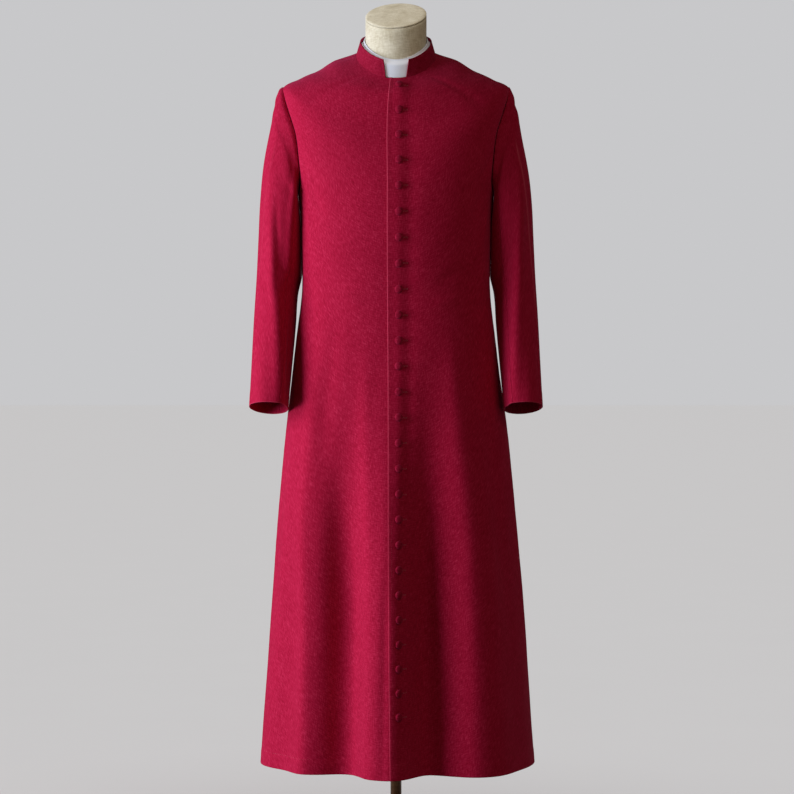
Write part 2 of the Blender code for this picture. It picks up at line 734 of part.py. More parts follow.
def make_form(finish):
    count = FORM_SIDES
    foot = form_ring(HIP_DOWN, count)
    foot[:, 2] = FORM_FOOT_Z
    share = np.linspace(0, 1, FORM_ROWS) ** FORM_ROW_BIAS
    downs = FORM_TOP_DOWN + share * (HIP_DOWN - FORM_TOP_DOWN)
    rings = [form_ring(down, count) for down in downs]
    neck_top = neck_cut(circle(NECK_RADIUS, 0, count, NECK_CENTRE_Y))
    neck_foot = circle(NECK_RADIUS, 0, count, NECK_CENTRE_Y)
    neck_foot[:, 2] = rings[0][:, 2] + NECK_FOOT_RISE
    bore = POLE_RADIUS + BORE_CLEARANCE
    loft(
        "form_torso",
        [neck_top, neck_foot]
        + rings
        + [
            foot,
            circle(bore, FORM_FOOT_Z, count),
            circle(bore, FORM_FOOT_Z + POLE_IN_FORM + MESH_GAP, count),
        ],
        finish,
    )


def make_neck_cap(finish):
    rings = []
    for row in NECK_CAP_ROWS:
        ring = circle(NECK_RADIUS * row.radius_share, 0, FORM_SIDES, NECK_CENTRE_Y)
        rings.append(neck_cut(ring, MESH_GAP + row.height))
    loft("form_neck_cap", rings, finish)


def make_stand(finish):
    pole_foot = HUB_HEIGHT - POLE_IN_BASE
    pole_top = FORM_FOOT_Z + POLE_IN_FORM
    lathe(
        "stand_pole",
        (
            (0.0, pole_foot),
            (POLE_RADIUS, pole_foot),
            (POLE_RADIUS, pole_top),
            (0.0, pole_top),
        ),
        POLE_SIDES,
        finish,
    )
    bore = POLE_RADIUS + BORE_CLEARANCE
    lathe(
        "stand_base",
        (
            (0.0, 0.0),
            (BASE_RADIUS - BASE_CHAMFER, 0.0),
            (BASE_RADIUS, BASE_CHAMFER),
            (BASE_RADIUS, BASE_EDGE_HEIGHT - BASE_CHAMFER),
            (BASE_RADIUS - BASE_CHAMFER, BASE_EDGE_HEIGHT),
            (BASE_RADIUS * 0.6, (BASE_EDGE_HEIGHT + BASE_CROWN_HEIGHT) / 2),
            (HUB_RADIUS * 1.5, BASE_CROWN_HEIGHT),
            (HUB_RADIUS, BASE_CROWN_HEIGHT + HUB_FLARE),
            (HUB_RADIUS, HUB_HEIGHT - BASE_CHAMFER),
            (HUB_RADIUS - BASE_CHAMFER, HUB_HEIGHT),
            (bore, HUB_HEIGHT),
            (bore, pole_foot - MESH_GAP),
            (0.0, pole_foot - MESH_GAP),
        ),
        BASE_SIDES,
        finish,
    )


def clear_scene():
    for thing in list(bpy.data.objects):
        bpy.data.objects.remove(thing, do_unlink=True)


def main():
    clear_scene()
    red = material("cassock_cloth", CLOTH_RED, 0.85, sheen=0.3)
    white = material("white_collar_band", INSERT_WHITE, 0.45)
    linen = material("form_linen", LINEN, 0.9)
    brown = material("stand_metal", STAND_BROWN, 0.4, metallic=0.8)
    upper_front = make_fronts(red)
    make_backs(red)
    make_sleeves(red)
    make_collar(red)
    make_insert(white)
    make_buttons(upper_front, red)
    make_form(linen)
    make_neck_cap(linen)
    make_stand(brown)


main()
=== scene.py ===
"""A red buttoned cassock on a limbless dress form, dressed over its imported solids.

Metres, +Z up, the front faces -Y and the wearer's left is +X. The cloth repeats the
surfaces of the solids at a finer spacing, then adds relief along their normals: creases,
pressed seams, the turned hem and the pull of the buttons.
"""

import math
from collections import namedtuple

import bmesh
import bpy
import numpy as np
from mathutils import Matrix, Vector


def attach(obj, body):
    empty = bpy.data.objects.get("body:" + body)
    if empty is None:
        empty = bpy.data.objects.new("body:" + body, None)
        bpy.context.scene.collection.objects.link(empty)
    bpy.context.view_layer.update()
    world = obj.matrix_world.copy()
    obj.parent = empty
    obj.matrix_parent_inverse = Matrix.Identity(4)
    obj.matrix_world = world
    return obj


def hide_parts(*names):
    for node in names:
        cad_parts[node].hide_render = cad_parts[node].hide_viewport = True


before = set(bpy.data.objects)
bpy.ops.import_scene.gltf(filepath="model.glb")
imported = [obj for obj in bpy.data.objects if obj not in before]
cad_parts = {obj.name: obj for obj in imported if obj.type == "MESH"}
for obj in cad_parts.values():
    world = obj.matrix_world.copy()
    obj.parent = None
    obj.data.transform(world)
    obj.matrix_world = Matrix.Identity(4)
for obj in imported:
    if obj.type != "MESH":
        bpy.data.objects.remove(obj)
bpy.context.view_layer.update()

# ---- Sizes shared with the solids, in metres --------------------------------------
CLOTH_WALL = 0.0016
SEAM_GAP = 0.0005
LAP_CLEARANCE = 0.0009
SLEEVE_CLEARANCE = 0.0017
PRESS_SOFTNESS = 0.0015
COLLAR_WALL = 0.0026
INSERT_CLEARANCE = 0.0009
INSERT_PROUD = 0.0058
INSERT_FOOT = 0.0016
NOTCH_HALF_TOP = 0.0245
NOTCH_HALF_FOOT = 0.0198
BUTTON_COUNT = 26
BUTTON_DIAMETER = 0.0156
BUTTON_HEIGHT = 0.0056
BUTTON_GAP = 0.0008
BUTTON_TOP_Z = 1.5098
BUTTON_FOOT_Z = 0.2909
BUTTON_BOW = 0.0619
BUTTON_SWAY = 0.0437
BUTTON_TOP_X = 0.0062
BUTTON_FOOT_X = 0.0038
NECK_RADIUS = 0.0610
NECK_CENTRE_Y = -0.0020
NECK_FOOT_RISE = 0.0070
NECK_CAP_CENTRE_Z = 1.6600
NECK_CAP_TILT = math.radians(29.0)
NECK_CAP_ROLL = math.radians(3.5)
FORM_TOP_DOWN = 0.0120
FORM_FOOT_Z = 0.8400
MESH_GAP = 0.0004
POLE_RADIUS = 0.0110
POLE_IN_FORM = 0.0600
POLE_IN_BASE = 0.0300
BORE_CLEARANCE = 0.0005
BASE_RADIUS = 0.1900
BASE_EDGE_HEIGHT = 0.0100
BASE_CROWN_HEIGHT = 0.0170
HUB_RADIUS = 0.0200
HUB_HEIGHT = 0.0520

EPSILON = 1e-4  # the step that a surface's normals are measured with

# ---- The body, ring by ring -------------------------------------------------------
# half_width, front and back are the ring's reach from the axis. side_z is its height at
# the sides. tilt raises it per metre towards the back, and the drops lower the middle
# of its front and back. square is 2 for an ellipse and more for a squarer ring. ease is
# the room between the cloth and the dress form.
BodyRing = namedtuple(
    "BodyRing", "name half_width front back side_z tilt front_drop back_drop square ease"
)
BODY_RINGS = (
    BodyRing("neck seam", 0.0800, 0.0810, 0.0740, 1.5820, 0.50, 0.0155, 0.0130, 2.0, 0.0060),
    BodyRing("mid shoulder", 0.1500, 0.1040, 0.1060, 1.5540, 0.25, 0.0330, 0.0090, 2.1, 0.0060),
    BodyRing("shoulder tip", 0.2230, 0.1210, 0.1230, 1.5180, 0.08, 0.0880, 0.0220, 2.1, 0.0040),
    BodyRing("armhole", 0.2125, 0.1340, 0.1320, 1.4200, 0.00, 0.0520, 0.0080, 2.25, 0.0080),
    BodyRing("low armhole", 0.2055, 0.1385, 0.1325, 1.3580, 0.00, 0.0250, 0.0030, 2.3, 0.0100),
    BodyRing("underarm", 0.1945, 0.1400, 0.1310, 1.3050, 0.00, 0.0060, 0.0000, 2.3, 0.0100),
    BodyRing("chest", 0.1895, 0.1370, 0.1230, 1.2150, 0.00, 0.0000, 0.0000, 2.25, 0.0120),
    BodyRing("waist", 0.1882, 0.1270, 0.1140, 1.1150, 0.00, 0.0000, 0.0000, 2.2, 0.0200),
    BodyRing("high hip", 0.1985, 0.1310, 0.1300, 1.0200, 0.00, 0.0000, 0.0000, 2.2, 0.0260),
    BodyRing("hip", 0.2155, 0.1480, 0.1500, 0.8700, 0.00, 0.0000, 0.0000, 2.15, 0.0300),
    BodyRing("thigh", 0.2340, 0.1760, 0.1790, 0.6900, 0.00, 0.0000, 0.0000, 2.1, 0.0300),
    BodyRing("knee", 0.2510, 0.2030, 0.2120, 0.4900, 0.00, 0.0000, 0.0000, 2.0, 0.0300),
    BodyRing("calf", 0.2625, 0.2230, 0.2380, 0.3300, 0.00, 0.0000, 0.0000, 2.0, 0.0300),
    BodyRing("hem", 0.2730, 0.2400, 0.2620, 0.1730, 0.00, 0.0000, 0.0000, 2.0, 0.0300),
)
TIP_RING = 2
UNDERARM_RING = 5
HIP_RING = 9

# Each fold is a soft cone below the waist. azimuth is in degrees from the front towards
# the wearer's left, spread is its half angle, depth is at the hem and is negative for a
# trough, and start_z and full_z are where it begins and reaches its depth.
Fold = namedtuple("Fold", "name azimuth spread depth start_z full_z")
FOLDS = (
    Fold("right front side", -58.0, 11.0, -0.014, 0.90, 0.25),
    Fold("right front trough", -25.0, 13.5, -0.048, 1.06, 0.38),
    Fold("front edge ridge", -4.0, 10.0, 0.014, 1.00, 0.38),
    Fold("left front trough", 16.5, 12.0, -0.054, 1.06, 0.38),
    Fold("left front ridge", 41.0, 13.0, 0.018, 0.95, 0.30),
    Fold("left side back", 116.0, 12.0, -0.024, 0.92, 0.30),
    Fold("left back trough", 146.0, 12.5, -0.044, 1.04, 0.38),
    Fold("centre back ridge", 168.0, 10.0, 0.014, 1.00, 0.34),
    Fold("centre back trough", 189.0, 12.0, -0.040, 1.05, 0.36),
    Fold("right back trough", 219.0, 12.5, -0.046, 1.02, 0.40),
    Fold("right side back", 247.0, 11.0, -0.020, 0.90, 0.28),
)

# The edge of the upper front, as x at each height.
EdgeRow = namedtuple("EdgeRow", "z x")
FRONT_EDGE = (
    EdgeRow(1.540, -0.0105),
    EdgeRow(1.480, -0.0160),
    EdgeRow(1.300, -0.0175),
    EdgeRow(0.900, -0.0160),
    EdgeRow(0.500, -0.0148),
    EdgeRow(0.173, -0.0118),
)

# The armhole's cut: turn is 0 at the shoulder tip and 1 at the underarm, and the angles
# are round the body from the front.
ArmholeRow = namedtuple("ArmholeRow", "turn front_angle back_angle")
ARMHOLE = (
    ArmholeRow(0.00, 90.0, 90.0),
    ArmholeRow(0.14, 82.5, 97.5),
    ArmholeRow(0.28, 75.5, 104.5),
    ArmholeRow(0.42, 69.5, 110.5),
    ArmholeRow(0.58, 67.5, 113.0),
    ArmholeRow(0.72, 69.5, 111.0),
    ArmholeRow(0.86, 77.0, 104.0),
    ArmholeRow(1.00, 90.0, 90.0),
)

# ---- The sleeve, ring by ring -----------------------------------------------------
# Each ring is an oval between an outer and an inner point, with its reach to the front
# and back from centre_y. tilt, in degrees, lifts the ring's front. like_armhole is the
# share of the armhole's own shape that the ring still has.
SleeveRing = namedtuple(
    "SleeveRing", "name outer_x outer_z inner_x inner_z centre_y front back tilt like_armhole"
)
SLEEVE_RINGS = (
    SleeveRing("head", 0.2375, 1.5040, 0.1964, 1.2950, 0.001, 0.0580, 0.0630, 0.0, 1.00),
    SleeveRing("cap", 0.2485, 1.4480, 0.1925, 1.2680, 0.001, 0.0660, 0.0710, 0.0, 0.70),
    SleeveRing("biceps", 0.2635, 1.3700, 0.1870, 1.2330, 0.002, 0.0700, 0.0745, 0.0, 0.35),
    SleeveRing("upper arm", 0.2720, 1.2850, 0.1850, 1.1900, 0.004, 0.0690, 0.0720, 0.0, 0.10),
    SleeveRing("over elbow", 0.2758, 1.2100, 0.1860, 1.1500, 0.008, 0.0655, 0.0680, 2.0, 0.00),
    SleeveRing("elbow", 0.2788, 1.1450, 0.1955, 1.1080, 0.006, 0.0625, 0.0645, 5.0, 0.00),
    SleeveRing("forearm", 0.2830, 1.0650, 0.1995, 1.0450, -0.008, 0.0595, 0.0605, 9.0, 0.00),
    SleeveRing("wrist", 0.2865, 0.9700, 0.2060, 0.9620, -0.034, 0.0570, 0.0570, 12.0, 0.00),
    SleeveRing("cuff", 0.2895, 0.8800, 0.2131, 0.8760, -0.060, 0.0540, 0.0540, 13.0, 0.00),
)
PRESSED_FROM = (0.005, 0.045)  # shares of the sleeve over which the body begins to press it
INNER_SEAM_TURN = 6 / 9  # where the front and hind seams run
OUTER_SEAM_TURN = 0.16  # the third seam, down the outside of the arm

# ---- The collar's top edge --------------------------------------------------------
COLLAR_TOP = BodyRing(
    "collar top", 0.0712, 0.0765, 0.0690, 1.6120, 0.50, 0.0125, 0.0080, 2.0, 0.0
)

# ---- Curves through short tables --------------------------------------------------
def smooth(knots, values, at):
    """A cubic through the rows of a table; each slope comes from a row's neighbours."""
    knots = np.asarray(knots, float)
    values = np.asarray(values, float)
    at = np.asarray(at, float)
    slopes = np.gradient(values, knots)
    row, span, share = rows_around(knots, at)
    return cubic(values[row], values[row + 1], slopes[row], slopes[row + 1], span, share)


def fade(value, start, end):
    """0 at start, 1 at end, with flat ends."""
    s = np.clip((value - start) / (end - start), 0, 1)
    return s * s * (3 - 2 * s)


def column(rows, name):
    return np.array([getattr(row, name) for row in rows], float)


def bell(distance, width):
    """1 in the middle of a soft ridge, and about a third at its width from there."""
    return np.exp(-((distance / width) ** 2))


def unit(vectors):
    return vectors / np.linalg.norm(vectors, axis=-1, keepdims=True)


def wrapped_angle(angle):
    """The same angle, from minus half a turn to half a turn."""
    return (angle + math.pi) % (2 * math.pi) - math.pi


def wrapped_turn(turn):
    """The same place round a sleeve, from -1 to 1."""
    return (turn + 1) % 2 - 1


def cubic(before, after, slope_before, slope_after, span, share):
    """A value between two rows of a table that leaves each row at its slope."""
    ease_in = share * share * (3 - 2 * share)
    return (
        before * (1 - ease_in)
        + after * ease_in
        + slope_before * span * share * (1 - share) ** 2
        - slope_after * span * share * share * (1 - share)
    )


def rows_around(knots, at):
    """The row before each place, the span to the next one and the share of it."""
    row = np.clip(np.searchsorted(knots, at, side="right") - 1, 0, len(knots) - 2)
    span = knots[row + 1] - knots[row]
    return row, span, (at - knots[row]) / span


def signed_power(value, power):
    return np.sign(value) * np.abs(value) ** power


def distances(*lines):
    """Distance to each ring, as the mean of the distances along lines through them all."""
    steps = [np.linalg.norm(np.diff(line, axis=0), axis=1) for line in lines]
    return np.concatenate(([0.0], np.cumsum(np.mean(steps, axis=0))))


# ---- The body surface -------------------------------------------------------------
def body_distances():
    side = np.column_stack((column(BODY_RINGS, "half_width"), column(BODY_RINGS, "side_z")))
    reach = column(BODY_RINGS, "front")
    front_z = side[:, 1] - column(BODY_RINGS, "tilt") * reach - column(BODY_RINGS, "front_drop")
    return distances(side, np.column_stack((reach, front_z)))


DOWN = body_distances()
TIP_DOWN = DOWN[TIP_RING]
UNDERARM_DOWN = DOWN[UNDERARM_RING]
HIP_DOWN = DOWN[HIP_RING]
HEM_DOWN = DOWN[-1]


def body_value(name, down):
    return smooth(DOWN, column(BODY_RINGS, name), down)


def on_ring(angle, half_width, front, back, side_z, tilt, front_drop, back_drop, square):
    """A point of one ring, at an angle in radians from the front."""
    sine = np.sin(angle)
    cosine = np.cos(angle)
    x = half_width * signed_power(sine, 2 / square)
    y = -np.where(cosine > 0, front, back) * signed_power(cosine, 2 / square)
    drop = np.where(cosine > 0, front_drop, back_drop)
    z = side_z + tilt * y - drop * cosine**2
    return np.stack((x, y, z), axis=-1)


def fold_reach(angle, z):
    """How far the folds move the skirt outwards."""
    degrees = np.degrees(angle)
    reach = np.zeros(np.broadcast(angle, z).shape)
    for fold in FOLDS:
        turn = (degrees - fold.azimuth + 180) % 360 - 180
        reach += fold.depth * bell(turn, fold.spread) * fade(z, fold.start_z, fold.full_z)
    return reach


RING_SHAPE = BodyRing._fields[1:-1]  # what on_ring takes


def body(angle, down, folded=True):
    """The cloth's outer surface."""
    point = on_ring(angle, *(body_value(name, down) for name in RING_SHAPE))
    if folded:
        reach = fold_reach(angle, point[..., 2])
        point[..., 0] += reach * np.sin(angle)
        point[..., 1] -= reach * np.cos(angle)
    return point


def angle_at_x(x, down):
    """The angle near the front where a ring has this x."""
    half_width = body_value("half_width", down)
    square = body_value("square", down)
    return np.arcsin(signed_power(x / half_width, square / 2))


def front_edge_x(down):
    z = body(np.zeros_like(down), down)[..., 2]
    rows = FRONT_EDGE[::-1]
    return smooth(column(rows, "z"), column(rows, "x"), np.clip(z, rows[0].z, rows[-1].z))


def armhole_angle(down, side):
    """Where a panel ends: at the side seam, or at the armhole where there is one."""
    share = np.clip((down - TIP_DOWN) / (UNDERARM_DOWN - TIP_DOWN), 0, 1)
    turn = np.arccos(1 - 2 * share) / math.pi
    return np.radians(smooth(column(ARMHOLE, "turn"), column(ARMHOLE, side), turn))


def beside_armhole(turn):
    """Distance down the cloth at a turn round the armhole, as on an oval."""
    return TIP_DOWN + (1 - np.cos(turn * math.pi)) / 2 * (UNDERARM_DOWN - TIP_DOWN)


# ---- The sleeve surface -----------------------------------------------------------
def sleeve_distances():
    """Shares of the way from the armhole to the cuff, along the outer and inner lines."""
    tip = BODY_RINGS[TIP_RING]
    underarm = BODY_RINGS[UNDERARM_RING]
    outer = [(tip.half_width, tip.side_z)] + [(row.outer_x, row.outer_z) for row in SLEEVE_RINGS]
    inner = [(underarm.half_width, underarm.side_z)]
    inner += [(row.inner_x, row.inner_z) for row in SLEEVE_RINGS]
    along = distances(np.array(outer), np.array(inner))
    return along / along[-1]


SLEEVE_DOWN = sleeve_distances()


def armhole_loop(turn):
    """turn is 0 at the shoulder tip, 1 at the underarm past the front, -1 past the back."""
    down = beside_armhole(turn)
    front = body(armhole_angle(down, "front_angle"), down)
    back = body(armhole_angle(down, "back_angle"), down)
    point = np.where((turn > 0)[..., None], front, back)
    point[..., 0] += SEAM_GAP
    return point


def sleeve_ring(row, turn):
    """One ring: an oval, mixed with the armhole's shape carried to the ring's place."""
    angle = turn * math.pi
    outer = np.array((row.outer_x, 0, row.outer_z))
    inner = np.array((row.inner_x, 0, row.inner_z))
    centre = (outer + inner) / 2 + np.array((0, row.centre_y, 0))
    lift = math.radians(row.tilt)
    forward = np.array((0, -math.cos(lift), math.sin(lift)))
    reach = np.where(turn > 0, row.front, row.back) * np.sin(angle)
    oval = centre + np.cos(angle)[..., None] * (outer - inner) / 2 + reach[..., None] * forward
    tip, underarm, front, back = armhole_loop(np.array((0, 1, 0.5, -0.5)))
    near_tip = ((1 + np.cos(angle)) / 2)[..., None]
    carried = armhole_loop(turn)
    carried[..., 1] *= np.where(turn > 0, -row.front / front[1], row.back / back[1])
    carried += (outer - tip) * near_tip + (inner - underarm) * (1 - near_tip)
    return oval + (carried - oval) * row.like_armhole


def body_side_x(y, z):
    """The body's half width at a place beside it, below the armhole."""
    down = smooth(-column(BODY_RINGS, "side_z"), DOWN, -z)
    reach = np.where(y < 0, body_value("front", down), body_value("back", down))
    square = body_value("square", down)
    inside = np.clip(1 - np.abs(y / reach) ** square, 0, 1)
    return body_value("half_width", down) * inside ** (1 / square)


def keep_off_body(point, down):
    """Flattens the sleeve where it would enter the body, once past the armhole."""
    nearest = body_side_x(point[..., 1], point[..., 2]) + SLEEVE_CLEARANCE
    over = (point[..., 0] - nearest) / PRESS_SOFTNESS
    pressed = nearest + PRESS_SOFTNESS * np.exp(np.minimum(over, 1) - 1)
    clear = fade(down, *PRESSED_FROM)
    point[..., 0] += np.where(over < 1, (pressed - point[..., 0]) * clear, 0)
    return point


def sleeve(turn, down):
    """The left sleeve's outer surface; down is 0 at the armhole and 1 at the cuff."""
    turn, down = np.broadcast_arrays(np.asarray(turn, float), np.asarray(down, float))
    rings = np.array([armhole_loop(turn)] + [sleeve_ring(row, turn) for row in SLEEVE_RINGS])
    slopes = np.gradient(rings, SLEEVE_DOWN, axis=0)
    row, span, share = rows_around(SLEEVE_DOWN, down)
    here = (row, *np.indices(turn.shape))
    below = (row + 1, *np.indices(turn.shape))
    point = cubic(
        rings[here], rings[below], slopes[here], slopes[below], span[..., None], share[..., None]
    )
    return keep_off_body(point, down)


# ---- The collar surface -----------------------------------------------------------
def collar(angle, up):
    """The collar's outer surface; up is 0 at the neck seam and 1 at the top edge."""
    foot = on_ring(angle, *(getattr(BODY_RINGS[0], name) for name in RING_SHAPE))
    top = on_ring(angle, *(getattr(COLLAR_TOP, name) for name in RING_SHAPE))
    up = np.asarray(up, float)[..., None]
    return foot + (top - foot) * up


def notch_half(up):
    return NOTCH_HALF_FOOT + (NOTCH_HALF_TOP - NOTCH_HALF_FOOT) * up


def collar_angle(aside, up):
    """The angle at which the collar is this far from the middle of the notch."""
    foot_width = BODY_RINGS[0].half_width
    return np.arcsin(aside / (foot_width + (COLLAR_TOP.half_width - foot_width) * up))


def collar_height():
    front = collar(np.array(0.0), np.array([0.0, 1.0]))
    return float(np.linalg.norm(front[1] - front[0]))


# ---- Relief on the cloth ----------------------------------------------------------
# Each crease is a soft line on the body, from one place to another. The angles are in
# degrees from the front and the heights in metres. bow bends it sideways, width is its
# half width and depth is positive for a ridge, all in millimetres.
Crease = namedtuple("Crease", "start_angle start_z end_angle end_z bow width depth")
BODY_CREASES = (
    # from the armholes towards the chest
    Crease(-66, 1.395, -40, 1.300, 7, 13, -2.6),
    Crease(-67, 1.350, -44, 1.235, -6, 11, -2.0),
    Crease(-70, 1.315, -54, 1.175, 5, 12, 2.0),
    Crease(67, 1.405, 43, 1.290, -8, 12, -2.4),
    Crease(68, 1.345, 47, 1.215, 5, 12, -2.2),
    Crease(71, 1.300, 57, 1.160, -5, 10, 1.8),
    # from the neck and the shoulders
    Crease(-38, 1.548, -52, 1.450, 4, 12, -1.4),
    Crease(36, 1.550, 50, 1.440, -5, 13, -1.5),
    # at the waist, where the fronts fall from the chest
    Crease(-62, 1.160, -22, 1.105, 9, 12, -2.2),
    Crease(-50, 1.120, -14, 1.075, -6, 10, 1.5),
    Crease(-74, 1.095, -44, 1.050, 5, 11, -1.9),
    Crease(20, 1.118, 58, 1.150, -8, 12, -2.0),
    Crease(16, 1.082, 44, 1.102, 5, 9, 1.3),
    Crease(46, 1.060, 76, 1.090, -5, 11, -1.8),
    # long soft falls down the fronts
    Crease(-33, 1.090, -38, 0.640, 10, 20, -3.2),
    Crease(-52, 1.040, -55, 0.420, -12, 24, 3.6),
    Crease(-14, 1.030, -13, 0.560, 4, 15, 2.2),
    Crease(6.5, 1.520, 5.5, 0.880, 0, 12, -1.2),
    Crease(6, 1.080, 5, 0.340, 2, 12, -2.4),
    Crease(29, 1.060, 30, 0.560, -8, 19, 2.6),
    Crease(55, 1.030, 60, 0.360, 12, 24, -3.2),
    Crease(-72, 0.930, -75, 0.280, 8, 20, -2.8),
    Crease(74, 0.900, 78, 0.300, -8, 22, 2.6),
    Crease(-50.5, 0.860, -39.5, -0.280, 0, 18, 4.6),
    Crease(-31, 0.860, -25, -0.280, 0, 28, -10.8),
    Crease(-13, 0.900, -10.5, -0.280, 0, 14, 4.8),
    Crease(-4.5, 0.640, -5.5, 0.020, 0, 9, -3.6),
    Crease(4, 1.620, 4, 1.440, 0, 15, 1.8),
    Crease(-70, 1.440, -74, 0.860, 0, 17, 3.5),
    Crease(35, 0.860, 31, -0.280, 0, 18, 3.0),
    Crease(27, 0.430, 25, 0.200, 5, 15, -2.0),
    # the backs: across the shoulder blades, at the waist and down the skirt
    Crease(112, 1.420, 138, 1.330, -7, 14, -2.2),
    Crease(248, 1.415, 222, 1.318, 7, 13, -2.4),
    Crease(110, 1.330, 132, 1.215, 6, 13, -2.0),
    Crease(250, 1.325, 230, 1.205, -6, 12, 1.8),
    Crease(118, 1.130, 162, 1.092, 8, 12, -2.2),
    Crease(130, 1.095, 170, 1.070, -5, 10, 1.4),
    Crease(242, 1.125, 200, 1.088, -8, 12, -2.1),
    Crease(226, 1.075, 196, 1.055, 5, 10, -1.6),
    Crease(128, 1.050, 131, 0.500, -10, 22, 3.2),
    Crease(158, 1.020, 159, 0.460, 7, 18, -2.8),
    Crease(204, 1.040, 203, 0.420, -6, 19, 3.0),
    Crease(234, 1.010, 230, 0.480, 9, 22, -3.0),
    Crease(100, 0.960, 101, 0.320, 9, 22, 2.8),
    Crease(258, 0.930, 256, 0.360, -8, 20, 2.4),
    Crease(176, 0.560, 178, 0.220, 5, 16, -2.2),
)
# The same on the sleeves. turn runs round the sleeve, 0 at the outside and 0.5 at the
# front, and down runs from the armhole to the cuff.
SleeveCrease = namedtuple("SleeveCrease", "start_turn start_down end_turn end_down bow width depth")
RIGHT_SLEEVE_CREASES = (
    SleeveCrease(0.66, 0.13, 0.34, 0.20, 6, 15, -1.0),
    SleeveCrease(0.25, 0.10, 0.89, 1.36, 0, 22, 9.6),
    SleeveCrease(0.66, -0.15, 0.63, 0.70, 0, 12, 4.4),
    SleeveCrease(0.72, 0.58, 0.70, 0.98, 0, 8, 1.8),
    SleeveCrease(0.40, 0.22, 0.54, 0.68, 3, 9, -2.6),
    SleeveCrease(0.84, 0.52, 0.42, 0.44, 5, 11, -1.6),
    SleeveCrease(0.88, 0.67, 0.60, 0.60, 4, 10, -1.2),
    SleeveCrease(0.78, 0.56, 0.82, 1.30, -4, 12, -2.0),
    SleeveCrease(-0.60, 0.22, -0.26, 0.30, -6, 14, -1.6),
    SleeveCrease(-0.70, 0.47, -0.30, 0.41, 6, 12, -2.2),
    SleeveCrease(-0.62, 0.55, -0.26, 0.52, -5, 11, 1.6),
    SleeveCrease(-0.52, 0.60, -0.50, 0.93, 6, 17, -1.8),
)
LEFT_SLEEVE_CREASES = (
    SleeveCrease(0.64, 0.14, 0.32, 0.21, -6, 15, -1.0),
    SleeveCrease(0.24, 0.05, 0.85, 1.36, 0, 20, 7.6),
    SleeveCrease(0.84, 0.51, 0.44, 0.43, -4, 11, -1.6),
    SleeveCrease(0.82, 0.62, 0.52, 0.55, 4, 10, 1.2),
    SleeveCrease(0.80, 0.60, 0.84, 1.30, -4, 12, -1.6),
    SleeveCrease(-0.58, 0.24, -0.24, 0.31, 6, 14, -1.6),
    SleeveCrease(-0.68, 0.44, -0.28, 0.50, -6, 12, -2.2),
    SleeveCrease(-0.60, 0.56, -0.24, 0.52, 5, 11, 1.5),
    SleeveCrease(-0.54, 0.62, -0.52, 0.95, -6, 17, -1.8),
)
# Across the head of each sleeve, at a distance from its seam: the cloth stands up beside
# the seam and then drops straight. Millimetres, and out from the plain form is positive.
HeadStep = namedtuple("HeadStep", "distance spread height")
RIGHT_HEAD = (HeadStep(6, 8, 5.0), HeadStep(38, 12, -3.0))
LEFT_HEAD = (HeadStep(2, 7, 3.5), HeadStep(34, 16, -6.5), HeadStep(110, 60, -3.0))
HEAD_TURN = 0.05
HEAD_SPREAD = 0.32
# The same along the top of each shoulder, at a distance down from the neck seam.
SHOULDER_STEPS = (HeadStep(32, 20, 5.5), HeadStep(104, 19, -4.6), HeadStep(138, 9, 3.0))
SHOULDER_SPREAD = 0.45
ARMHOLE_DIP = 0.0022
ARMHOLE_DIP_WIDTH = 0.0060
MM = 0.001
LAP_FALL = (0.0180, 0.0460)  # past its edge the upper front sinks back over this stretch
HEM_DEPTH = 0.0290
HEM_RISE = 0.0005
CUFF_DEPTH = 0.0320
CUFF_RISE = 0.0004
EDGE_STITCH = 0.0068
STITCH_SINK = 0.0005
# A flat chart of a sleeve, on which its creases are laid: its length, and the metres of
# cloth for each radian round it.
CHART_LENGTH = 0.64
CHART_GIRTH = 0.066


def crease_line(across, along, start, end, bow, width, depth):
    """One soft line on a flat chart, in metres, tapered at both its ends."""
    start = np.array(start)
    chord = np.array(end) - start
    length = np.linalg.norm(chord)
    chord = chord / length
    from_start = across - start[0], along - start[1]
    share = (from_start[0] * chord[0] + from_start[1] * chord[1]) / length
    aside = from_start[0] * chord[1] - from_start[1] * chord[0]
    inside = np.clip(share, 0, 1)
    aside = aside - bow * MM * 4 * inside * (1 - inside)
    spread = width * MM * (0.75 + 0.5 * inside)
    taper = fade(share, 0.0, 0.35) * (1 - fade(share, 0.6, 1.0))
    return depth * MM * taper * bell(aside, spread)


def chart_radius(z):
    """Metres of cloth for each radian round the body, at a height."""
    z = np.clip(z, BODY_RINGS[-1].side_z, BODY_RINGS[0].side_z)
    down = smooth(-column(BODY_RINGS, "side_z"), DOWN, -z)
    return (body_value("half_width", down) + body_value("front", down)) / 2


def body_creases(angle, z):
    radius = chart_radius(z)
    relief = np.zeros(np.broadcast(angle, z).shape)
    for crease in BODY_CREASES:
        middle = math.radians((crease.start_angle + crease.end_angle) / 2)
        turn = wrapped_angle(angle - middle)
        half = math.radians(crease.end_angle - crease.start_angle) / 2
        reach = float(chart_radius(np.array((crease.start_z + crease.end_z) / 2)))
        relief += crease_line(
            turn * radius,
            z,
            (-half * reach, crease.start_z),
            (half * reach, crease.end_z),
            *crease[4:],
        )
    return relief


def unevenness(across, along, size):
    """Gentle waves of several lengths, so that no stretch of cloth is a perfect curve."""
    return size * (
        0.45 * np.sin(19 * across + 7.1 * along + 0.6)
        + 0.30 * np.sin(31 * across - 11 * along + 2.2)
        + 0.15 * np.sin(53 * across + 23 * along + 4.1)
        + 0.10 * np.sin(87 * across - 41 * along + 1.3)
    )


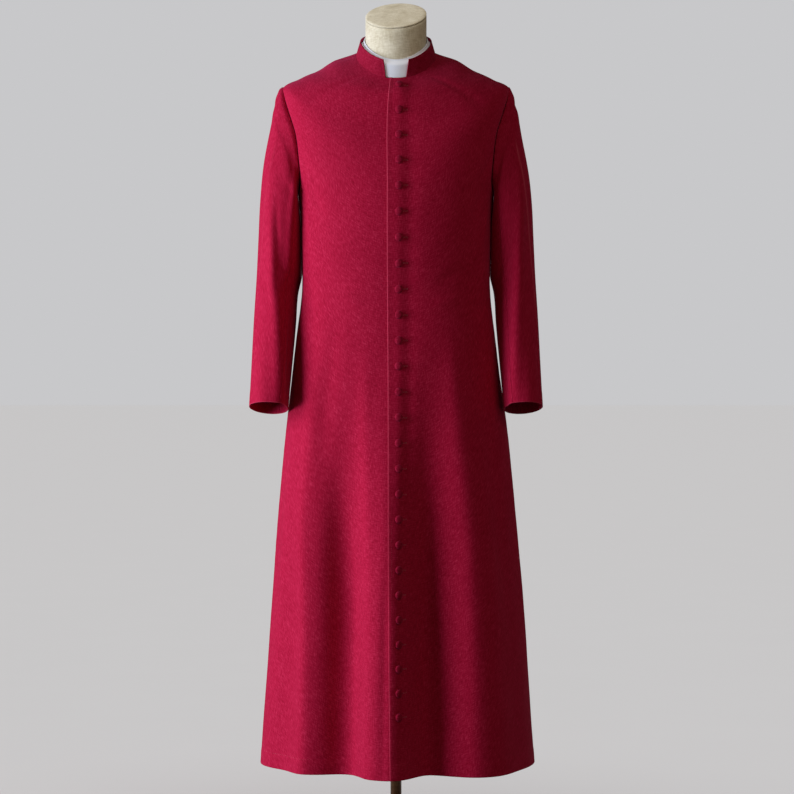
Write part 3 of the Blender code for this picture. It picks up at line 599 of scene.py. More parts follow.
def button_places():
    """Each button's x and height."""
    share = np.arange(BUTTON_COUNT) / (BUTTON_COUNT - 1)
    heights = BUTTON_TOP_Z + (BUTTON_FOOT_Z - BUTTON_TOP_Z) * share
    heights -= share * (1 - share) * (BUTTON_BOW - BUTTON_SWAY * (1 - 2 * share))
    return np.column_stack((BUTTON_TOP_X + (BUTTON_FOOT_X - BUTTON_TOP_X) * share, heights))


BUTTONS = button_places()


def button_pull(x, z):
    """The front dips round each button and strains a little towards it from both sides."""
    relief = np.zeros(x.shape)
    for number, (button_x, button_z) in enumerate(BUTTONS):
        lean = 0.35 * math.sin(number * 2.4)
        aside = x - button_x
        above = z - button_z - lean * np.abs(aside)
        dip = bell(aside, 0.013) * bell(z - button_z, 0.011)
        strain = bell(above, 0.006) * bell(aside - 0.012, 0.024)
        relief -= 0.0009 * dip + (0.0003 + 0.00012 * math.sin(number * 1.7)) * strain
    return relief


def lap_lift(point, down):
    """How far the upper front stands up where the lower one runs under it."""
    past_edge = point[..., 0] - front_edge_x(down)
    return (CLOTH_WALL + LAP_CLEARANCE) * (1 - fade(past_edge, *LAP_FALL))


def body_relief(angle, down, point):
    """How far the finer form stands off the plain body surface."""
    x = point[..., 0]
    z = point[..., 2]
    front = np.abs(angle) < 1.2
    calm_top = fade(down, 0.0, 0.05)
    relief = body_creases(angle, z) * calm_top
    relief += unevenness(angle * chart_radius(z), z, 0.0011) * calm_top
    relief += np.where(front, button_pull(x, z), 0)
    return relief


def stepped(distance, steps):
    """The height of a run of HeadSteps, in metres."""
    heights = (step.height * bell(distance / MM - step.distance, step.spread) for step in steps)
    return MM * sum(heights)


def shoulder_relief(angle, down):
    aside = np.abs(wrapped_angle(angle)) - math.pi / 2
    return stepped(down, SHOULDER_STEPS) * bell(aside, SHOULDER_SPREAD)


def head_relief(turn, from_seam, steps):
    """The head of a sleeve, and the dip beside its seam at the front of the armhole."""
    turn = wrapped_turn(turn)
    in_front = fade(turn, 0.15, 0.30) * (1 - fade(turn, 0.45, 0.66))
    dip = ARMHOLE_DIP * in_front * bell(from_seam, ARMHOLE_DIP_WIDTH)
    return bell(turn - HEAD_TURN, HEAD_SPREAD) * stepped(from_seam, steps) - dip


def on_chart(turn, down):
    """A place of a sleeve on its flat chart."""
    return turn * math.pi * CHART_GIRTH, down * CHART_LENGTH


def sleeve_relief(turn, down, creases):
    turn = wrapped_turn(turn)
    across, along = on_chart(turn, down)
    relief = np.zeros(np.broadcast(turn, down).shape)
    for crease in creases:
        start = on_chart(crease.start_turn, crease.start_down)
        end = on_chart(crease.end_turn, crease.end_down)
        relief += crease_line(across, along, start, end, *crease[4:])
    wave = np.sin(np.pi * (1 - np.abs(turn))) ** 0.5
    relief += unevenness(across, along, 0.0009) * wave
    pressed = bell(across - OUTER_SEAM_TURN * math.pi * CHART_GIRTH, 0.0030)
    welted = bell(across - welt_turn(down) * math.pi * CHART_GIRTH, 0.0040)
    relief += (0.0004 * pressed + 0.0007 * welted) * fade(down, 0.04, 0.12)
    return relief * fade(down, 0.0, 0.05)


# ---- Meshes -----------------------------------------------------------------------
# Distances from a cloth piece's edge at which its points crowd, to round it over.
EDGE_STEPS = np.array((0.0, 0.00012, 0.0004, 0.0008, 0.0016, 0.0032))
COLUMN_STEP = 0.0042
ROW_STEP = 0.0043
# How far a piece runs on under its neighbour at a seam, less in the armhole, and how deep.
TUCK_REACH = 0.0035
ARMHOLE_TUCK_REACH = 0.0003
TUCK_DEPTH = 0.0024


def outward(surface, across, down, turned):
    """Unit normals of a surface, from small steps each way."""
    step_across = surface(across + EPSILON, down) - surface(across - EPSILON, down)
    step_down = surface(across, down + EPSILON) - surface(across, down - EPSILON)
    normal = unit(np.cross(step_down, step_across))
    return -normal if turned else normal


def crowded(length, step):
    """Distances along a length, even in the middle and crowded at both ends."""
    inner = length - 2 * EDGE_STEPS[-1]
    count = max(3, int(round(inner / step)) + 1)
    middle = np.linspace(EDGE_STEPS[-1], length - EDGE_STEPS[-1], count)[1:-1]
    return np.concatenate((EDGE_STEPS, middle, length - EDGE_STEPS[::-1]))


def row_widths(surface, start, end, down):
    """Length of each row of a piece, measured on the surface."""
    share = np.linspace(0, 1, 41)
    points = surface(start + (end - start) * share, down + 0 * share)
    return np.linalg.norm(np.diff(points, axis=1), axis=-1).sum(axis=1)[:, None]


def piece_columns(surface, start, end, down, step, gap):
    """Places across a piece, row by row, as if cut to its two edges."""
    widths = row_widths(surface, start, end, down)
    plan = crowded(float(widths.max()), step)
    edge = len(EDGE_STEPS)
    share = plan[edge:-edge]
    share = (share - share[0]) / (share[-1] - share[0])
    first = EDGE_STEPS + gap / 2
    last = widths - first[::-1]
    inner_start = first[-1] + step * 0.8
    inner_end = widths - inner_start
    middle = inner_start + (inner_end - inner_start) * share
    distance = np.concatenate((np.broadcast_to(first, (len(widths), edge)), middle, last), axis=1)
    return start + (end - start) * distance / widths


def along_grid(points, axis):
    """Distance from the first point to each, along the grid's rows or columns."""
    steps = np.linalg.norm(np.diff(points, axis=axis), axis=-1)
    zero = np.zeros_like(np.take(steps, [0], axis=axis))
    return np.concatenate((zero, np.cumsum(steps, axis=axis)), axis=axis)


def rounded(distance, wall):
    """How far a piece's faces draw together near an edge, so that it rolls over."""
    half = wall / 2
    short = np.clip(1 - distance / half, 0, 1)
    return half * (1 - np.sqrt(1 - short**2))


def in_scene(name, data):
    """A new object of a mesh, a lamp or a camera."""
    thing = bpy.data.objects.new(name, data)
    bpy.context.scene.collection.objects.link(thing)
    return thing


def mesh_object(name, points, quads, uv, finish):
    mesh = bpy.data.meshes.new(name)
    mesh.from_pydata(points.tolist(), [], quads.tolist())
    layer = mesh.uv_layers.new(name="cloth")
    loops = np.empty(len(mesh.loops), np.int64)
    mesh.loops.foreach_get("vertex_index", loops)
    layer.data.foreach_set("uv", uv[loops].astype(np.float32).ravel())
    mesh.materials.append(finish)
    return in_scene(name, mesh)


def weld(thing):
    """Joins the two faces of a shell where they meet at its edges."""
    made = bmesh.new()
    made.from_mesh(thing.data)
    bmesh.ops.remove_doubles(made, verts=made.verts, dist=1e-6)
    bmesh.ops.recalc_face_normals(made, faces=made.faces)
    made.to_mesh(thing.data)
    made.free()
    thing.data.shade_smooth()
    return thing


def grid_quads(rows, columns):
    r, c = np.meshgrid(np.arange(rows - 1), np.arange(columns - 1), indexing="ij")
    corner = (r * columns + c).ravel()
    return np.column_stack((corner, corner + 1, corner + columns + 1, corner + columns))


def tube_quads(rings, sides):
    """The faces between rings of points that follow one another."""
    r, side = (part.ravel() for part in np.indices((rings - 1, sides)))
    after = (side + 1) % sides
    corner = r * sides
    return np.column_stack((corner + side, corner + after, corner + sides + after, corner + sides + side))


def shell(name, base, normal, relief, wall, finish, ring=False, painted_highlight=None, grain=0.5):
    """A closed thin piece: its outer face, its inner face and rolled edges.

    The edge-highlight argument is 1 where an edge is painted light, a painted highlight standing in for
    light caught by the edge, and 0 elsewhere. grain is the
    edge that the lengthwise threads follow: 0 the first, 1 the last, 0.5 between them."""
    across = along_grid(base, 1)
    along = along_grid(base, 0)
    to_edge = np.minimum(along, along[-1:] - along)
    if not ring:
        to_edge = np.minimum(to_edge, np.minimum(across, across[:, -1:] - across))
    sink = rounded(to_edge, wall)
    outer = base + normal * (relief - sink)[..., None]
    inner = base + normal * (relief - wall + sink)[..., None]
    rows, columns = base.shape[:2]
    points = np.concatenate((outer.reshape(-1, 3), inner.reshape(-1, 3)))
    faces = grid_quads(rows, columns)
    quads = np.concatenate((faces, faces[:, ::-1] + rows * columns))
    uv = np.stack((across - across[:, -1:] * grain, -along), axis=-1).reshape(-1, 2)
    piece = mesh_object(name, points, quads, np.concatenate((uv, uv)), finish)
    if painted_highlight is not None:
        # The painted highlight is stored on the points, for the cloth material to read.
        wear_and_highlight = piece.data.attributes.new("painted_highlight", "FLOAT", "POINT")
        on_face = np.broadcast_to(painted_highlight, (rows, columns)).ravel()
        wear_and_highlight.data.foreach_set("value", np.tile(on_face, 2).astype(np.float32))
    return weld(piece)


def tucked(grids, heading, reach, depth):
    """Adds a row before a piece's first one, which runs on under its neighbour at the seam."""
    base, normal, relief, painted_highlight = (np.concatenate((grid[:1], grid)) for grid in grids)
    base[0] += unit(heading) * reach
    relief[0] -= depth
    return base, normal, relief, painted_highlight


def tucked_side(grids, reach, last):
    """The same for a piece's first or last column."""
    turn = -1 if last else 1
    sideways = [np.swapaxes(grid, 0, 1)[::turn] for grid in grids]
    sideways = tucked(sideways, sideways[0][0] - sideways[0][1], reach, TUCK_DEPTH)
    return [np.swapaxes(grid[::turn], 0, 1) for grid in sideways]


def loft(name, rings, finish):
    """A solid through closed rings of points, with its ends filled."""
    count = len(rings[0])
    points = np.concatenate(rings)
    faces = tube_quads(len(rings), count).tolist()
    faces += [list(range(count)), list(range(len(points) - count, len(points)))]
    mesh = bpy.data.meshes.new(name)
    made = bmesh.new()
    vertices = [made.verts.new(point) for point in points.tolist()]
    for face in faces:
        made.faces.new([vertices[i] for i in face])
    bmesh.ops.recalc_face_normals(made, faces=made.faces)
    made.to_mesh(mesh)
    made.free()
    mesh.shade_smooth()
    mesh.set_sharp_from_angle(angle=math.radians(50))
    mesh.materials.append(finish)
    return in_scene(name, mesh)


def circle(radius, z, count, centre_y=0.0):
    angle = np.linspace(0, 2 * math.pi, count, endpoint=False)
    x = radius * np.sin(angle)
    return np.column_stack((x, centre_y - radius * np.cos(angle), np.full(count, z)))


def turned(name, profile, count, finish):
    """A turned solid through (radius, height) pairs, about the Z axis."""
    return loft(name, [circle(radius, z, count) for radius, z in profile], finish)


def frames(axis):
    """Two unit vectors square to each axis."""
    helper = np.where(np.abs(axis[:, 2:3]) < 0.8, (0.0, 0.0, 1.0), (1.0, 0.0, 0.0))
    first = unit(np.cross(axis, helper))
    return first, np.cross(axis, first)


# One stitch: its rings along half its length each way, and how full it is there.
StitchRing = namedtuple("StitchRing", "share swell")
HALF_STITCH = (StitchRing(0.35, 1.0), StitchRing(0.82, 0.62), StitchRing(1.0, 0.02))
STITCH_RINGS = [StitchRing(-ring.share, ring.swell) for ring in HALF_STITCH[::-1]] + list(HALF_STITCH)
STITCH_SIDES = 6


def stitches(name, centres, tangents, normals, length, radius, finish):
    """Many short threads joined in one mesh, each dipping into the cloth at its ends."""
    side = unit(np.cross(tangents, normals))
    rings = []
    for share, swell in STITCH_RINGS:
        middle = centres + tangents * share * length / 2 - normals * radius * 1.1 * share**2
        for step in range(STITCH_SIDES):
            turn = 2 * math.pi * step / STITCH_SIDES
            spoke = side * math.cos(turn) + normals * math.sin(turn)
            rings.append(middle + spoke * radius * swell)
    points = np.stack(rings, axis=1).reshape(-1, 3)
    firsts = np.arange(len(centres)) * len(rings)
    quads = (tube_quads(len(STITCH_RINGS), STITCH_SIDES) + firsts[:, None, None]).reshape(-1, 4)
    thing = mesh_object(name, points, quads, np.zeros((len(points), 2)), finish)
    thing.data.shade_smooth()
    return thing


# ---- Materials --------------------------------------------------------------------
class Nodes:
    """Short names for building one material's nodes."""

    def __init__(self, name):
        self.material = bpy.data.materials.new(name)
        self.material.use_nodes = True
        self.tree = self.material.node_tree
        self.shader = self.tree.nodes["Principled BSDF"]

    def add(self, kind, **settings):
        node = self.tree.nodes.new(kind)
        for key, value in settings.items():
            if key in node.inputs:
                node.inputs[key].default_value = value
            else:
                setattr(node, key, value)
        return node

    def join(self, source, target):
        self.tree.links.new(source, target)

    def math(self, operation, first, second=None):
        node = self.add("ShaderNodeMath", operation=operation)
        for slot, value in zip(node.inputs, (first, second)):
            if value is None:
                continue
            if isinstance(value, (int, float)):
                slot.default_value = value
            else:
                self.join(value, slot)
        return node.outputs[0]

    def blend(self, *parts):
        """The sum of values, each times its share."""
        total = None
        for value, share in parts:
            weighted = self.math("MULTIPLY", value, share)
            total = weighted if total is None else self.math("ADD", total, weighted)
        return total

    def axes(self, where):
        node = self.add("ShaderNodeSeparateXYZ")
        self.join(where, node.inputs[0])
        return node.outputs

    def place(self, source):
        """Texture places: the cloth's own chart in metres, or the object's space."""
        if source == "cloth":
            node = self.add("ShaderNodeUVMap", uv_map="cloth")
            return node.outputs["UV"]
        return self.add("ShaderNodeTexCoord").outputs["Object"]

    def noise(self, where, scale, detail=3.0, roughness=0.55):
        node = self.add("ShaderNodeTexNoise", Scale=scale, Detail=detail, Roughness=roughness)
        self.join(where, node.inputs["Vector"])
        return node.outputs["Fac"]

    def stretched(self, where, scale):
        node = self.add("ShaderNodeMapping")
        node.inputs["Scale"].default_value = scale
        self.join(where, node.inputs["Vector"])
        return node.outputs["Vector"]

    def ramp(self, factor, stops):
        node = self.add("ShaderNodeValToRGB")
        elements = node.color_ramp.elements
        while len(elements) < len(stops):
            elements.new(0.5)
        for element, (position, colour) in zip(elements, stops):
            element.position = position
            element.color = (*colour, 1)
        self.join(factor, node.inputs["Fac"])
        return node.outputs["Color"]

    def mix(self, factor, under, over):
        """The under colour where the factor is 0 and the fixed over colour where it is 1."""
        node = self.add("ShaderNodeMix", data_type="RGBA")
        colours = [slot for slot in node.inputs if slot.type == "RGBA"]
        self.join(factor, node.inputs["Factor"])
        self.join(under, colours[0])
        colours[1].default_value = (*over, 1)
        return [slot for slot in node.outputs if slot.type == "RGBA"][0]

    def bump(self, height, strength, distance, under=None):
        node = self.add("ShaderNodeBump", Strength=strength, Distance=distance)
        self.join(height, node.inputs["Height"])
        if under is not None:
            self.join(under, node.inputs["Normal"])
        return node.outputs["Normal"]

    def settle(self, colour=None, roughness=None, normal=None, **fixed):
        for name, source in (("Base Color", colour), ("Roughness", roughness), ("Normal", normal)):
            if source is not None:
                self.join(source, self.shader.inputs[name])
        for key, value in fixed.items():
            self.shader.inputs[key.replace("_", " ")].default_value = value
        return self.material


def twill(nodes, where, pitch):
    """Fine diagonal ribs with the threads that cross them."""
    u, v, _ = nodes.axes(where)
    diagonal = nodes.math("ADD", u, nodes.math("MULTIPLY", v, 0.72))
    ribs = nodes.math("SINE", nodes.math("MULTIPLY", diagonal, 2 * math.pi / pitch))
    threads = nodes.math("SINE", nodes.math("MULTIPLY", v, 2 * math.pi / (pitch * 0.62)))
    return nodes.blend((ribs, 0.7), (threads, 0.3))


def cassock_cloth(name="cassock_wool", tone=1.0):
    """Wool suiting. A tone below 1 darkens the whole material, as painted shade for the pieces that are
    darker because they sit in shade.
    """
    nodes = Nodes(name)
    where = nodes.place("cloth")
    ribs = twill(nodes, where, 0.0012)
    nap = nodes.noise(where, 1100, 4, 0.7)
    warp = nodes.noise(nodes.stretched(where, (560, 95, 1)), 1.0, 2, 0.5)
    weft = nodes.noise(nodes.stretched(where, (95, 560, 1)), 1.0, 2, 0.5)
    mottle = nodes.noise(where, 300, 3, 0.6)
    cloud = nodes.noise(where, 20, 3, 0.6)
    mixed = nodes.blend((mottle, 0.12), (warp, 0.31), (weft, 0.31), (nap, 0.18), (cloud, 0.08))
    reds = ((0.338, (0.240, 0.0006, 0.014)), (0.50, (0.400, 0.0050, 0.040)), (0.662, (0.590, 0.0290, 0.092)))
    colour = nodes.ramp(mixed, [(stop, [part * tone for part in red]) for stop, red in reds])
    # Painted highlight: where the pieces' edge attribute is set, the colour turns towards a light pink,
    # standing in for edges and seams that catch the light.
    edge_highlight = nodes.add("ShaderNodeAttribute", attribute_name="painted_highlight").outputs["Fac"]
    colour = nodes.mix(nodes.math("MULTIPLY", edge_highlight, 0.8), colour, (0.66, 0.085, 0.16))
    height = nodes.math("ADD", nodes.math("MULTIPLY", ribs, 0.5), nap)
    fine = nodes.bump(height, 0.28, 0.00022)
    normal = nodes.bump(nodes.math("ADD", warp, weft), 0.22, 0.0005, fine)
    roughness = nodes.math("ADD", nodes.math("MULTIPLY", nap, 0.12), 0.78)
    return nodes.settle(
        colour,
        roughness,
        normal,
        Sheen_Weight=0.20,
        Sheen_Roughness=0.45,
        Sheen_Tint=(1.0, 0.20, 0.48, 1),
        Specular_IOR_Level=0.07,
    )


def thread(name, colour):
    nodes = Nodes(name)
    where = nodes.place("object")
    ply = nodes.noise(where, 2600, 2, 0.5)
    tint = nodes.ramp(ply, ((0.35, tuple(c * 0.75 for c in colour)), (0.65, colour)))
    return nodes.settle(tint, None, nodes.bump(ply, 0.3, 0.0002), Roughness=0.5, Sheen_Weight=0.2)


def white_band():
    nodes = Nodes("starched_linen")
    where = nodes.place("cloth")
    weave = twill(nodes, where, 0.0007)
    speck = nodes.noise(where, 400, 3, 0.6)
    colour = nodes.ramp(speck, ((0.3, (0.66, 0.71, 0.83)), (0.7, (0.72, 0.76, 0.87))))
    normal = nodes.bump(nodes.math("ADD", weave, speck), 0.12, 0.0001)
    return nodes.settle(colour, None, normal, Roughness=0.48, Sheen_Weight=0.05)


def form_linen():
    nodes = Nodes("form_linen_cover")
    where = nodes.place("object")
    x, y, z = nodes.axes(where)
    angle = nodes.math("ARCTAN2", x, y)
    warp = nodes.math("SINE", nodes.math("MULTIPLY", angle, 380.0))
    weft = nodes.math("SINE", nodes.math("MULTIPLY", z, 2 * math.pi / 0.0012))
    weave = nodes.math("MULTIPLY", warp, weft)
    slubs = nodes.noise(nodes.stretched(where, (90, 90, 620)), 1.0, 3, 0.6)
    strands = nodes.noise(nodes.stretched(where, (620, 620, 90)), 1.0, 3, 0.6)
    cloud = nodes.noise(where, 34, 4, 0.6)
    mixed = nodes.blend((slubs, 0.32), (strands, 0.32), (cloud, 0.36))
    colour = nodes.ramp(
        mixed, ((0.38, (0.48, 0.42, 0.29)), (0.50, (0.62, 0.57, 0.44)), (0.62, (0.76, 0.72, 0.60)))
    )
    height = nodes.math("ADD", nodes.math("MULTIPLY", weave, 0.5), nodes.math("ADD", slubs, strands))
    return nodes.settle(colour, None, nodes.bump(height, 0.35, 0.0004), Roughness=0.88, Sheen_Weight=0.15)


def bronze():
    nodes = Nodes("bronze_lacquer")
    where = nodes.place("object")
    brush = nodes.noise(nodes.stretched(where, (40, 40, 700)), 1.0, 3, 0.55)
    wear_and_highlight = nodes.noise(where, 38, 5, 0.65)
    mixed = nodes.blend((wear_and_highlight, 0.65), (brush, 0.35))
    colour = nodes.ramp(
        mixed, ((0.35, (0.080, 0.036, 0.013)), (0.55, (0.140, 0.066, 0.026)), (0.75, (0.240, 0.120, 0.050)))
    )
    roughness = nodes.math("ADD", nodes.math("MULTIPLY", mixed, 0.35), 0.22)
    return nodes.settle(colour, roughness, nodes.bump(mixed, 0.08, 0.0004), Metallic=0.40)


def plain_floor():
    nodes = Nodes("pale_floor")
    where = nodes.place("object")
    tone = nodes.noise(where, 3.0, 3, 0.5)
    colour = nodes.ramp(tone, ((0.3, (0.604, 0.604, 0.618)), (0.7, (0.608, 0.608, 0.622))))
    return nodes.settle(colour, None, None, Roughness=0.9, Specular_IOR_Level=0.1)


CLOTH = cassock_cloth()
# The collar and the buttons use darker copies of the cloth: painted shade, standing in for the shade on the
# collar and on the buttons' sides away from the light.
COLLAR_CLOTH_PAINTED_SHADE = cassock_cloth("collar_wool_painted_shade", 0.70)
BUTTON_CLOTH_PAINTED_SHADE = cassock_cloth("button_wool_painted_shade", 0.66)
THREAD = thread("sewing_thread", (0.46, 0.016, 0.060))
BAND = white_band()
LINEN = form_linen()
METAL = bronze()


# ---- The cassock ------------------------------------------------------------------
SHELL_GAP = 0.0002  # between two shells at a seam, less than between the solids
UNDERLAP = 0.0340  # how far the lower front runs on under the upper one
ARMHOLE_CHART_RADIUS = 0.165  # metres of cloth for each radian beside the armhole
SIDE_SEAMS = (math.pi / 2, -math.pi / 2)
CENTRE_BACK = math.pi
SEAM_PRESS = 0.0006
SEAM_PRESS_WIDTH = 0.0110
SEAM_PUCKER_PITCH = 0.037
SEAM_GROOVE = 0.0005
SEAM_GROOVE_WIDTH = 0.0024
UNDERARM_FULLNESS = 0.0020
# The sides of the skirt follow the photo's outline more closely than the solids do: out
# on the wearer's left and in on the right, each growing over a stretch of the way down.
SKIRT_OUT = 0.0036
SKIRT_OUT_OVER = (0.64, 0.80)
SKIRT_IN = 0.0032
SKIRT_IN_OVER = (0.90, 1.26)
# The front edge is painted lighter, a painted highlight where the folded edge catches the light, less so
# further down.
EDGE_HIGHLIGHT = 0.52
EDGE_HIGHLIGHT_LOST = 0.26
EDGE_HIGHLIGHT_WIDTH = 0.0022


def row_places():
    """Distances down the cloth, from the neck seam to the hem."""
    return crowded(float(HEM_DOWN), ROW_STEP)[:, None]


def hem_relief(to_hem, across):
    """The turned hem stands out a little, with its stitches sunk and the cloth puckered."""
    turned_up = 1 - fade(to_hem, HEM_DEPTH - 0.002, HEM_DEPTH + 0.003)
    line = bell(to_hem - HEM_DEPTH, 0.0024)
    pucker = 0.7 + 0.3 * np.sin(across * 2 * math.pi / 0.021) * np.sin(across * 2 * math.pi / 0.057)
    return HEM_RISE * turned_up - STITCH_SINK * line * pucker


def armhole_seam(angle, down):
    """How near a place is to the armhole's seam, from 0 to 1, and the dip of the cloth there."""

    def distance(cut, mirror):
        cut = armhole_angle(down, cut)
        return np.minimum(np.abs(cut - angle), np.abs(mirror - cut - angle)) * ARMHOLE_CHART_RADIUS

    front = distance("front_angle", 0)
    back = distance("back_angle", 2 * math.pi)
    above_underarm = 1 - fade(down, UNDERARM_DOWN, UNDERARM_DOWN + 0.03)
    beside = fade(down, TIP_DOWN - 0.03, TIP_DOWN) * above_underarm
    near = beside * (1 - fade(np.minimum(front, back), 0.0, 0.022))
    below_tip = fade(down, TIP_DOWN + 0.005, TIP_DOWN + 0.04) * above_underarm
    return near, ARMHOLE_DIP * below_tip * bell(front, ARMHOLE_DIP_WIDTH)


def panel_relief(angle, down, base):
    near, dip = armhole_seam(angle, down)
    relief = body_relief(angle, down, base) * (1 - near) - dip + shoulder_relief(angle, down)
    radius = chart_radius(base[..., 2])
    relief += hem_relief(HEM_DOWN - down, angle * radius)
    relief += SKIRT_OUT * np.maximum(np.sin(angle), 0) ** 3 * fade(down, *SKIRT_OUT_OVER)
    relief -= SKIRT_IN * np.maximum(-np.sin(angle), 0) ** 3 * fade(down, *SKIRT_IN_OVER)
    for seam in (*SIDE_SEAMS, CENTRE_BACK):
        aside = wrapped_angle(angle - seam) * radius
        pucker = 0.75 + 0.25 * np.sin(down * 2 * math.pi / SEAM_PUCKER_PITCH + seam)
        relief -= SEAM_PRESS * bell(aside, SEAM_PRESS_WIDTH) * pucker
        relief -= SEAM_GROOVE * bell(aside, SEAM_GROOVE_WIDTH)
        if seam in SIDE_SEAMS:
            under = bell(down - UNDERARM_DOWN - 0.022, 0.022)
            relief += UNDERARM_FULLNESS * under * bell(aside, 0.035)
    return relief


def near_edge(distance, width):
    """1 at an edge, falling to 0 at a width from it."""
    return 1 - fade(distance, width * 0.4, width)


def body_piece(name, start, end, down):
    across = piece_columns(body, start, end, down, COLUMN_STEP, SHELL_GAP)
    rows = np.broadcast_to(down, across.shape)
    base = body(across, rows)
    normal = outward(body, across, rows, False)
    relief = panel_relief(across, rows, base)
    side = along_grid(base, 1)
    painted_highlight = np.zeros(across.shape)
    if name.endswith("front_left"):
        past_edge = base[..., 0] - front_edge_x(down)
        # On the upper front, the front edge and the armhole edge are painted light: a painted highlight
        # where these edges catch the light.
        in_armhole = 1 - fade(down, TIP_DOWN + 0.02, TIP_DOWN + 0.10)
        on_edge = (EDGE_HIGHLIGHT - EDGE_HIGHLIGHT_LOST * fade(down, 0.60, 1.10)) * near_edge(side, EDGE_HIGHLIGHT_WIDTH)
        painted_highlight = np.maximum(on_edge, near_edge(side[:, -1:] - side, 0.0030) * in_armhole)
        relief = relief + lap_lift(base, down)
        relief = relief - STITCH_SINK * 0.8 * bell(past_edge - EDGE_STITCH, 0.0016)
        relief = relief + 0.0003 * (1 - fade(past_edge, EDGE_STITCH - 0.001, EDGE_STITCH + 0.001))
    if name.endswith("front_right"):
        lapped = base[..., 0] > front_edge_x(down)
        relief = relief - np.where(lapped, CLOTH_WALL + LAP_CLEARANCE - lap_lift(base, down), 0)
    grids = [base, normal, relief, painted_highlight]
    if name.endswith("back_left"):
        grids = tucked_side(grids, TUCK_REACH, True)
    if "back" in name:
        sewn = fade(down, UNDERARM_DOWN + 0.005, UNDERARM_DOWN + 0.02)
        in_armhole = fade(down, TIP_DOWN - 0.02, TIP_DOWN - 0.01) * (1 - sewn)
        reach = ARMHOLE_TUCK_REACH + (TUCK_REACH - ARMHOLE_TUCK_REACH) * (1 - in_armhole)
        grids = tucked_side(grids, reach, name.endswith("right"))
    base, normal, relief, painted_highlight = grids
    grain = 0.0 if name.endswith(("front_left", "back_right")) else 1.0
    return shell(name, base, normal, relief, CLOTH_WALL, CLOTH, painted_highlight=painted_highlight, grain=grain)


def make_body():
    down = row_places()
    seam_front = armhole_angle(down, "front_angle")
    seam_back = armhole_angle(down, "back_angle")
    centre = np.full_like(seam_back, math.pi)
    edge = angle_at_x(front_edge_x(down), down)
    inner_edge = angle_at_x(front_edge_x(down) + UNDERLAP, down)
    pieces = (
        ("front_left", edge, seam_front),
        ("front_right", -seam_front, inner_edge),
        ("back_left", seam_back, centre),
        ("back_right", 2 * math.pi - centre, 2 * math.pi - seam_back),
    )
    made = {}
    for node, start, end in pieces:
        piece = body_piece(f"cloth_{node}", start, end, down)
        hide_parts(node)
        made[node] = piece
    return made


WELT_HALF = 0.0016
SLEEVE_LENGTH = 0.66
SLEEVE_COLUMN_STEP = 0.0040
INNER_SEAM_RADIUS = 0.05
# The seam allowance of a sleeve turns in behind the body's edge, towards a place this
# far inside the middle of the armhole.
INTO_BODY = 0.060
SLEEVE_TUCK = 0.0065


def welt_turn(down):
    """Where the stitched welt of the outer seam's turned edge runs, in front of the seam."""
    return OUTER_SEAM_TURN + 0.14 - 0.13 * fade(down, 0.05, 0.75)


def make_sleeve(side, mirrored, creases, head, wear_and_highlight):
    """The three pieces of a sleeve; the last argument is how strongly its welt line is painted light, a
    painted highlight.
    """
    down = crowded(SLEEVE_LENGTH, ROW_STEP)[:, None] / SLEEVE_LENGTH
    pieces = (
        ("front", OUTER_SEAM_TURN, INNER_SEAM_TURN),
        ("back", -INNER_SEAM_TURN, OUTER_SEAM_TURN),
        ("under", INNER_SEAM_TURN, 2 - INNER_SEAM_TURN),
    )
    turns = np.linspace(-1, 1, 73)[:-1]
    made = {}

    def wrapped(turn, at):
        return sleeve(wrapped_turn(turn), np.clip(at, 0, 1))

    for part, first, last in pieces:
        start = np.full_like(down, first)
        end = np.full_like(down, last)
        across = piece_columns(wrapped, start, end, down, SLEEVE_COLUMN_STEP, SHELL_GAP)
        rows = np.broadcast_to(down, across.shape)
        base = wrapped(across, rows)
        normal = outward(wrapped, across, rows, True)
        relief = sleeve_relief(across, rows, creases)
        clear = fade(body_gap(base), 0.001, 0.012)
        relief = np.where(relief > 0, relief * clear, relief)
        for seam in (INNER_SEAM_TURN, -INNER_SEAM_TURN):
            aside = wrapped_turn(across - seam) * math.pi * INNER_SEAM_RADIUS
            relief -= SEAM_GROOVE * bell(aside, 0.008) * fade(rows, 0, 0.06)
        to_cuff = (1 - rows) * SLEEVE_LENGTH
        relief += CUFF_RISE * (1 - fade(to_cuff, CUFF_DEPTH - 0.002, CUFF_DEPTH + 0.004))
        relief += head_relief(across, rows * SLEEVE_LENGTH, head)
        # Painted highlight: a light line along the welt and a lighter cuff edge, standing in for light
        # caught by these edges.
        on_welt = bell((across - welt_turn(rows)) * math.pi * CHART_GIRTH, WELT_HALF)
        on_welt = on_welt * wear_and_highlight * fade(rows, 0.09, 0.15) * (1 - fade(rows, 0.55, 0.75))
        painted_highlight = np.maximum(on_welt, 0.4 * near_edge(to_cuff, 0.002))
        inward = wrapped(turns, np.zeros(len(turns))).mean(axis=0) - (INTO_BODY, 0, 0) - base[0]
        grids = (base, normal, relief, painted_highlight)
        base, normal, relief, painted_highlight = tucked(grids, inward, SLEEVE_TUCK, 0.0)
        if mirrored:
            base = base * (-1, 1, 1)
            normal = normal * (-1, 1, 1)
        node = f"sleeve_{side}_{part}"
        piece = shell(f"cloth_{node}", base, normal, relief, CLOTH_WALL, CLOTH, painted_highlight=painted_highlight)
        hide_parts(node)
        made[node] = piece
    return made


def body_gap(point):
    """Room between a place on the left sleeve and the body's side."""
    return point[..., 0] - body_side_x(point[..., 1], point[..., 2]) - SLEEVE_CLEARANCE


COLLAR_STITCH = 0.0042
COLLAR_CURL = 0.0018
COLLAR_ROW_STEP = 0.0022
COLLAR_COLUMN_STEP = 0.0026
COLLAR_BELOW_SEAM = 0.0014
BAND_THICK = 0.0018


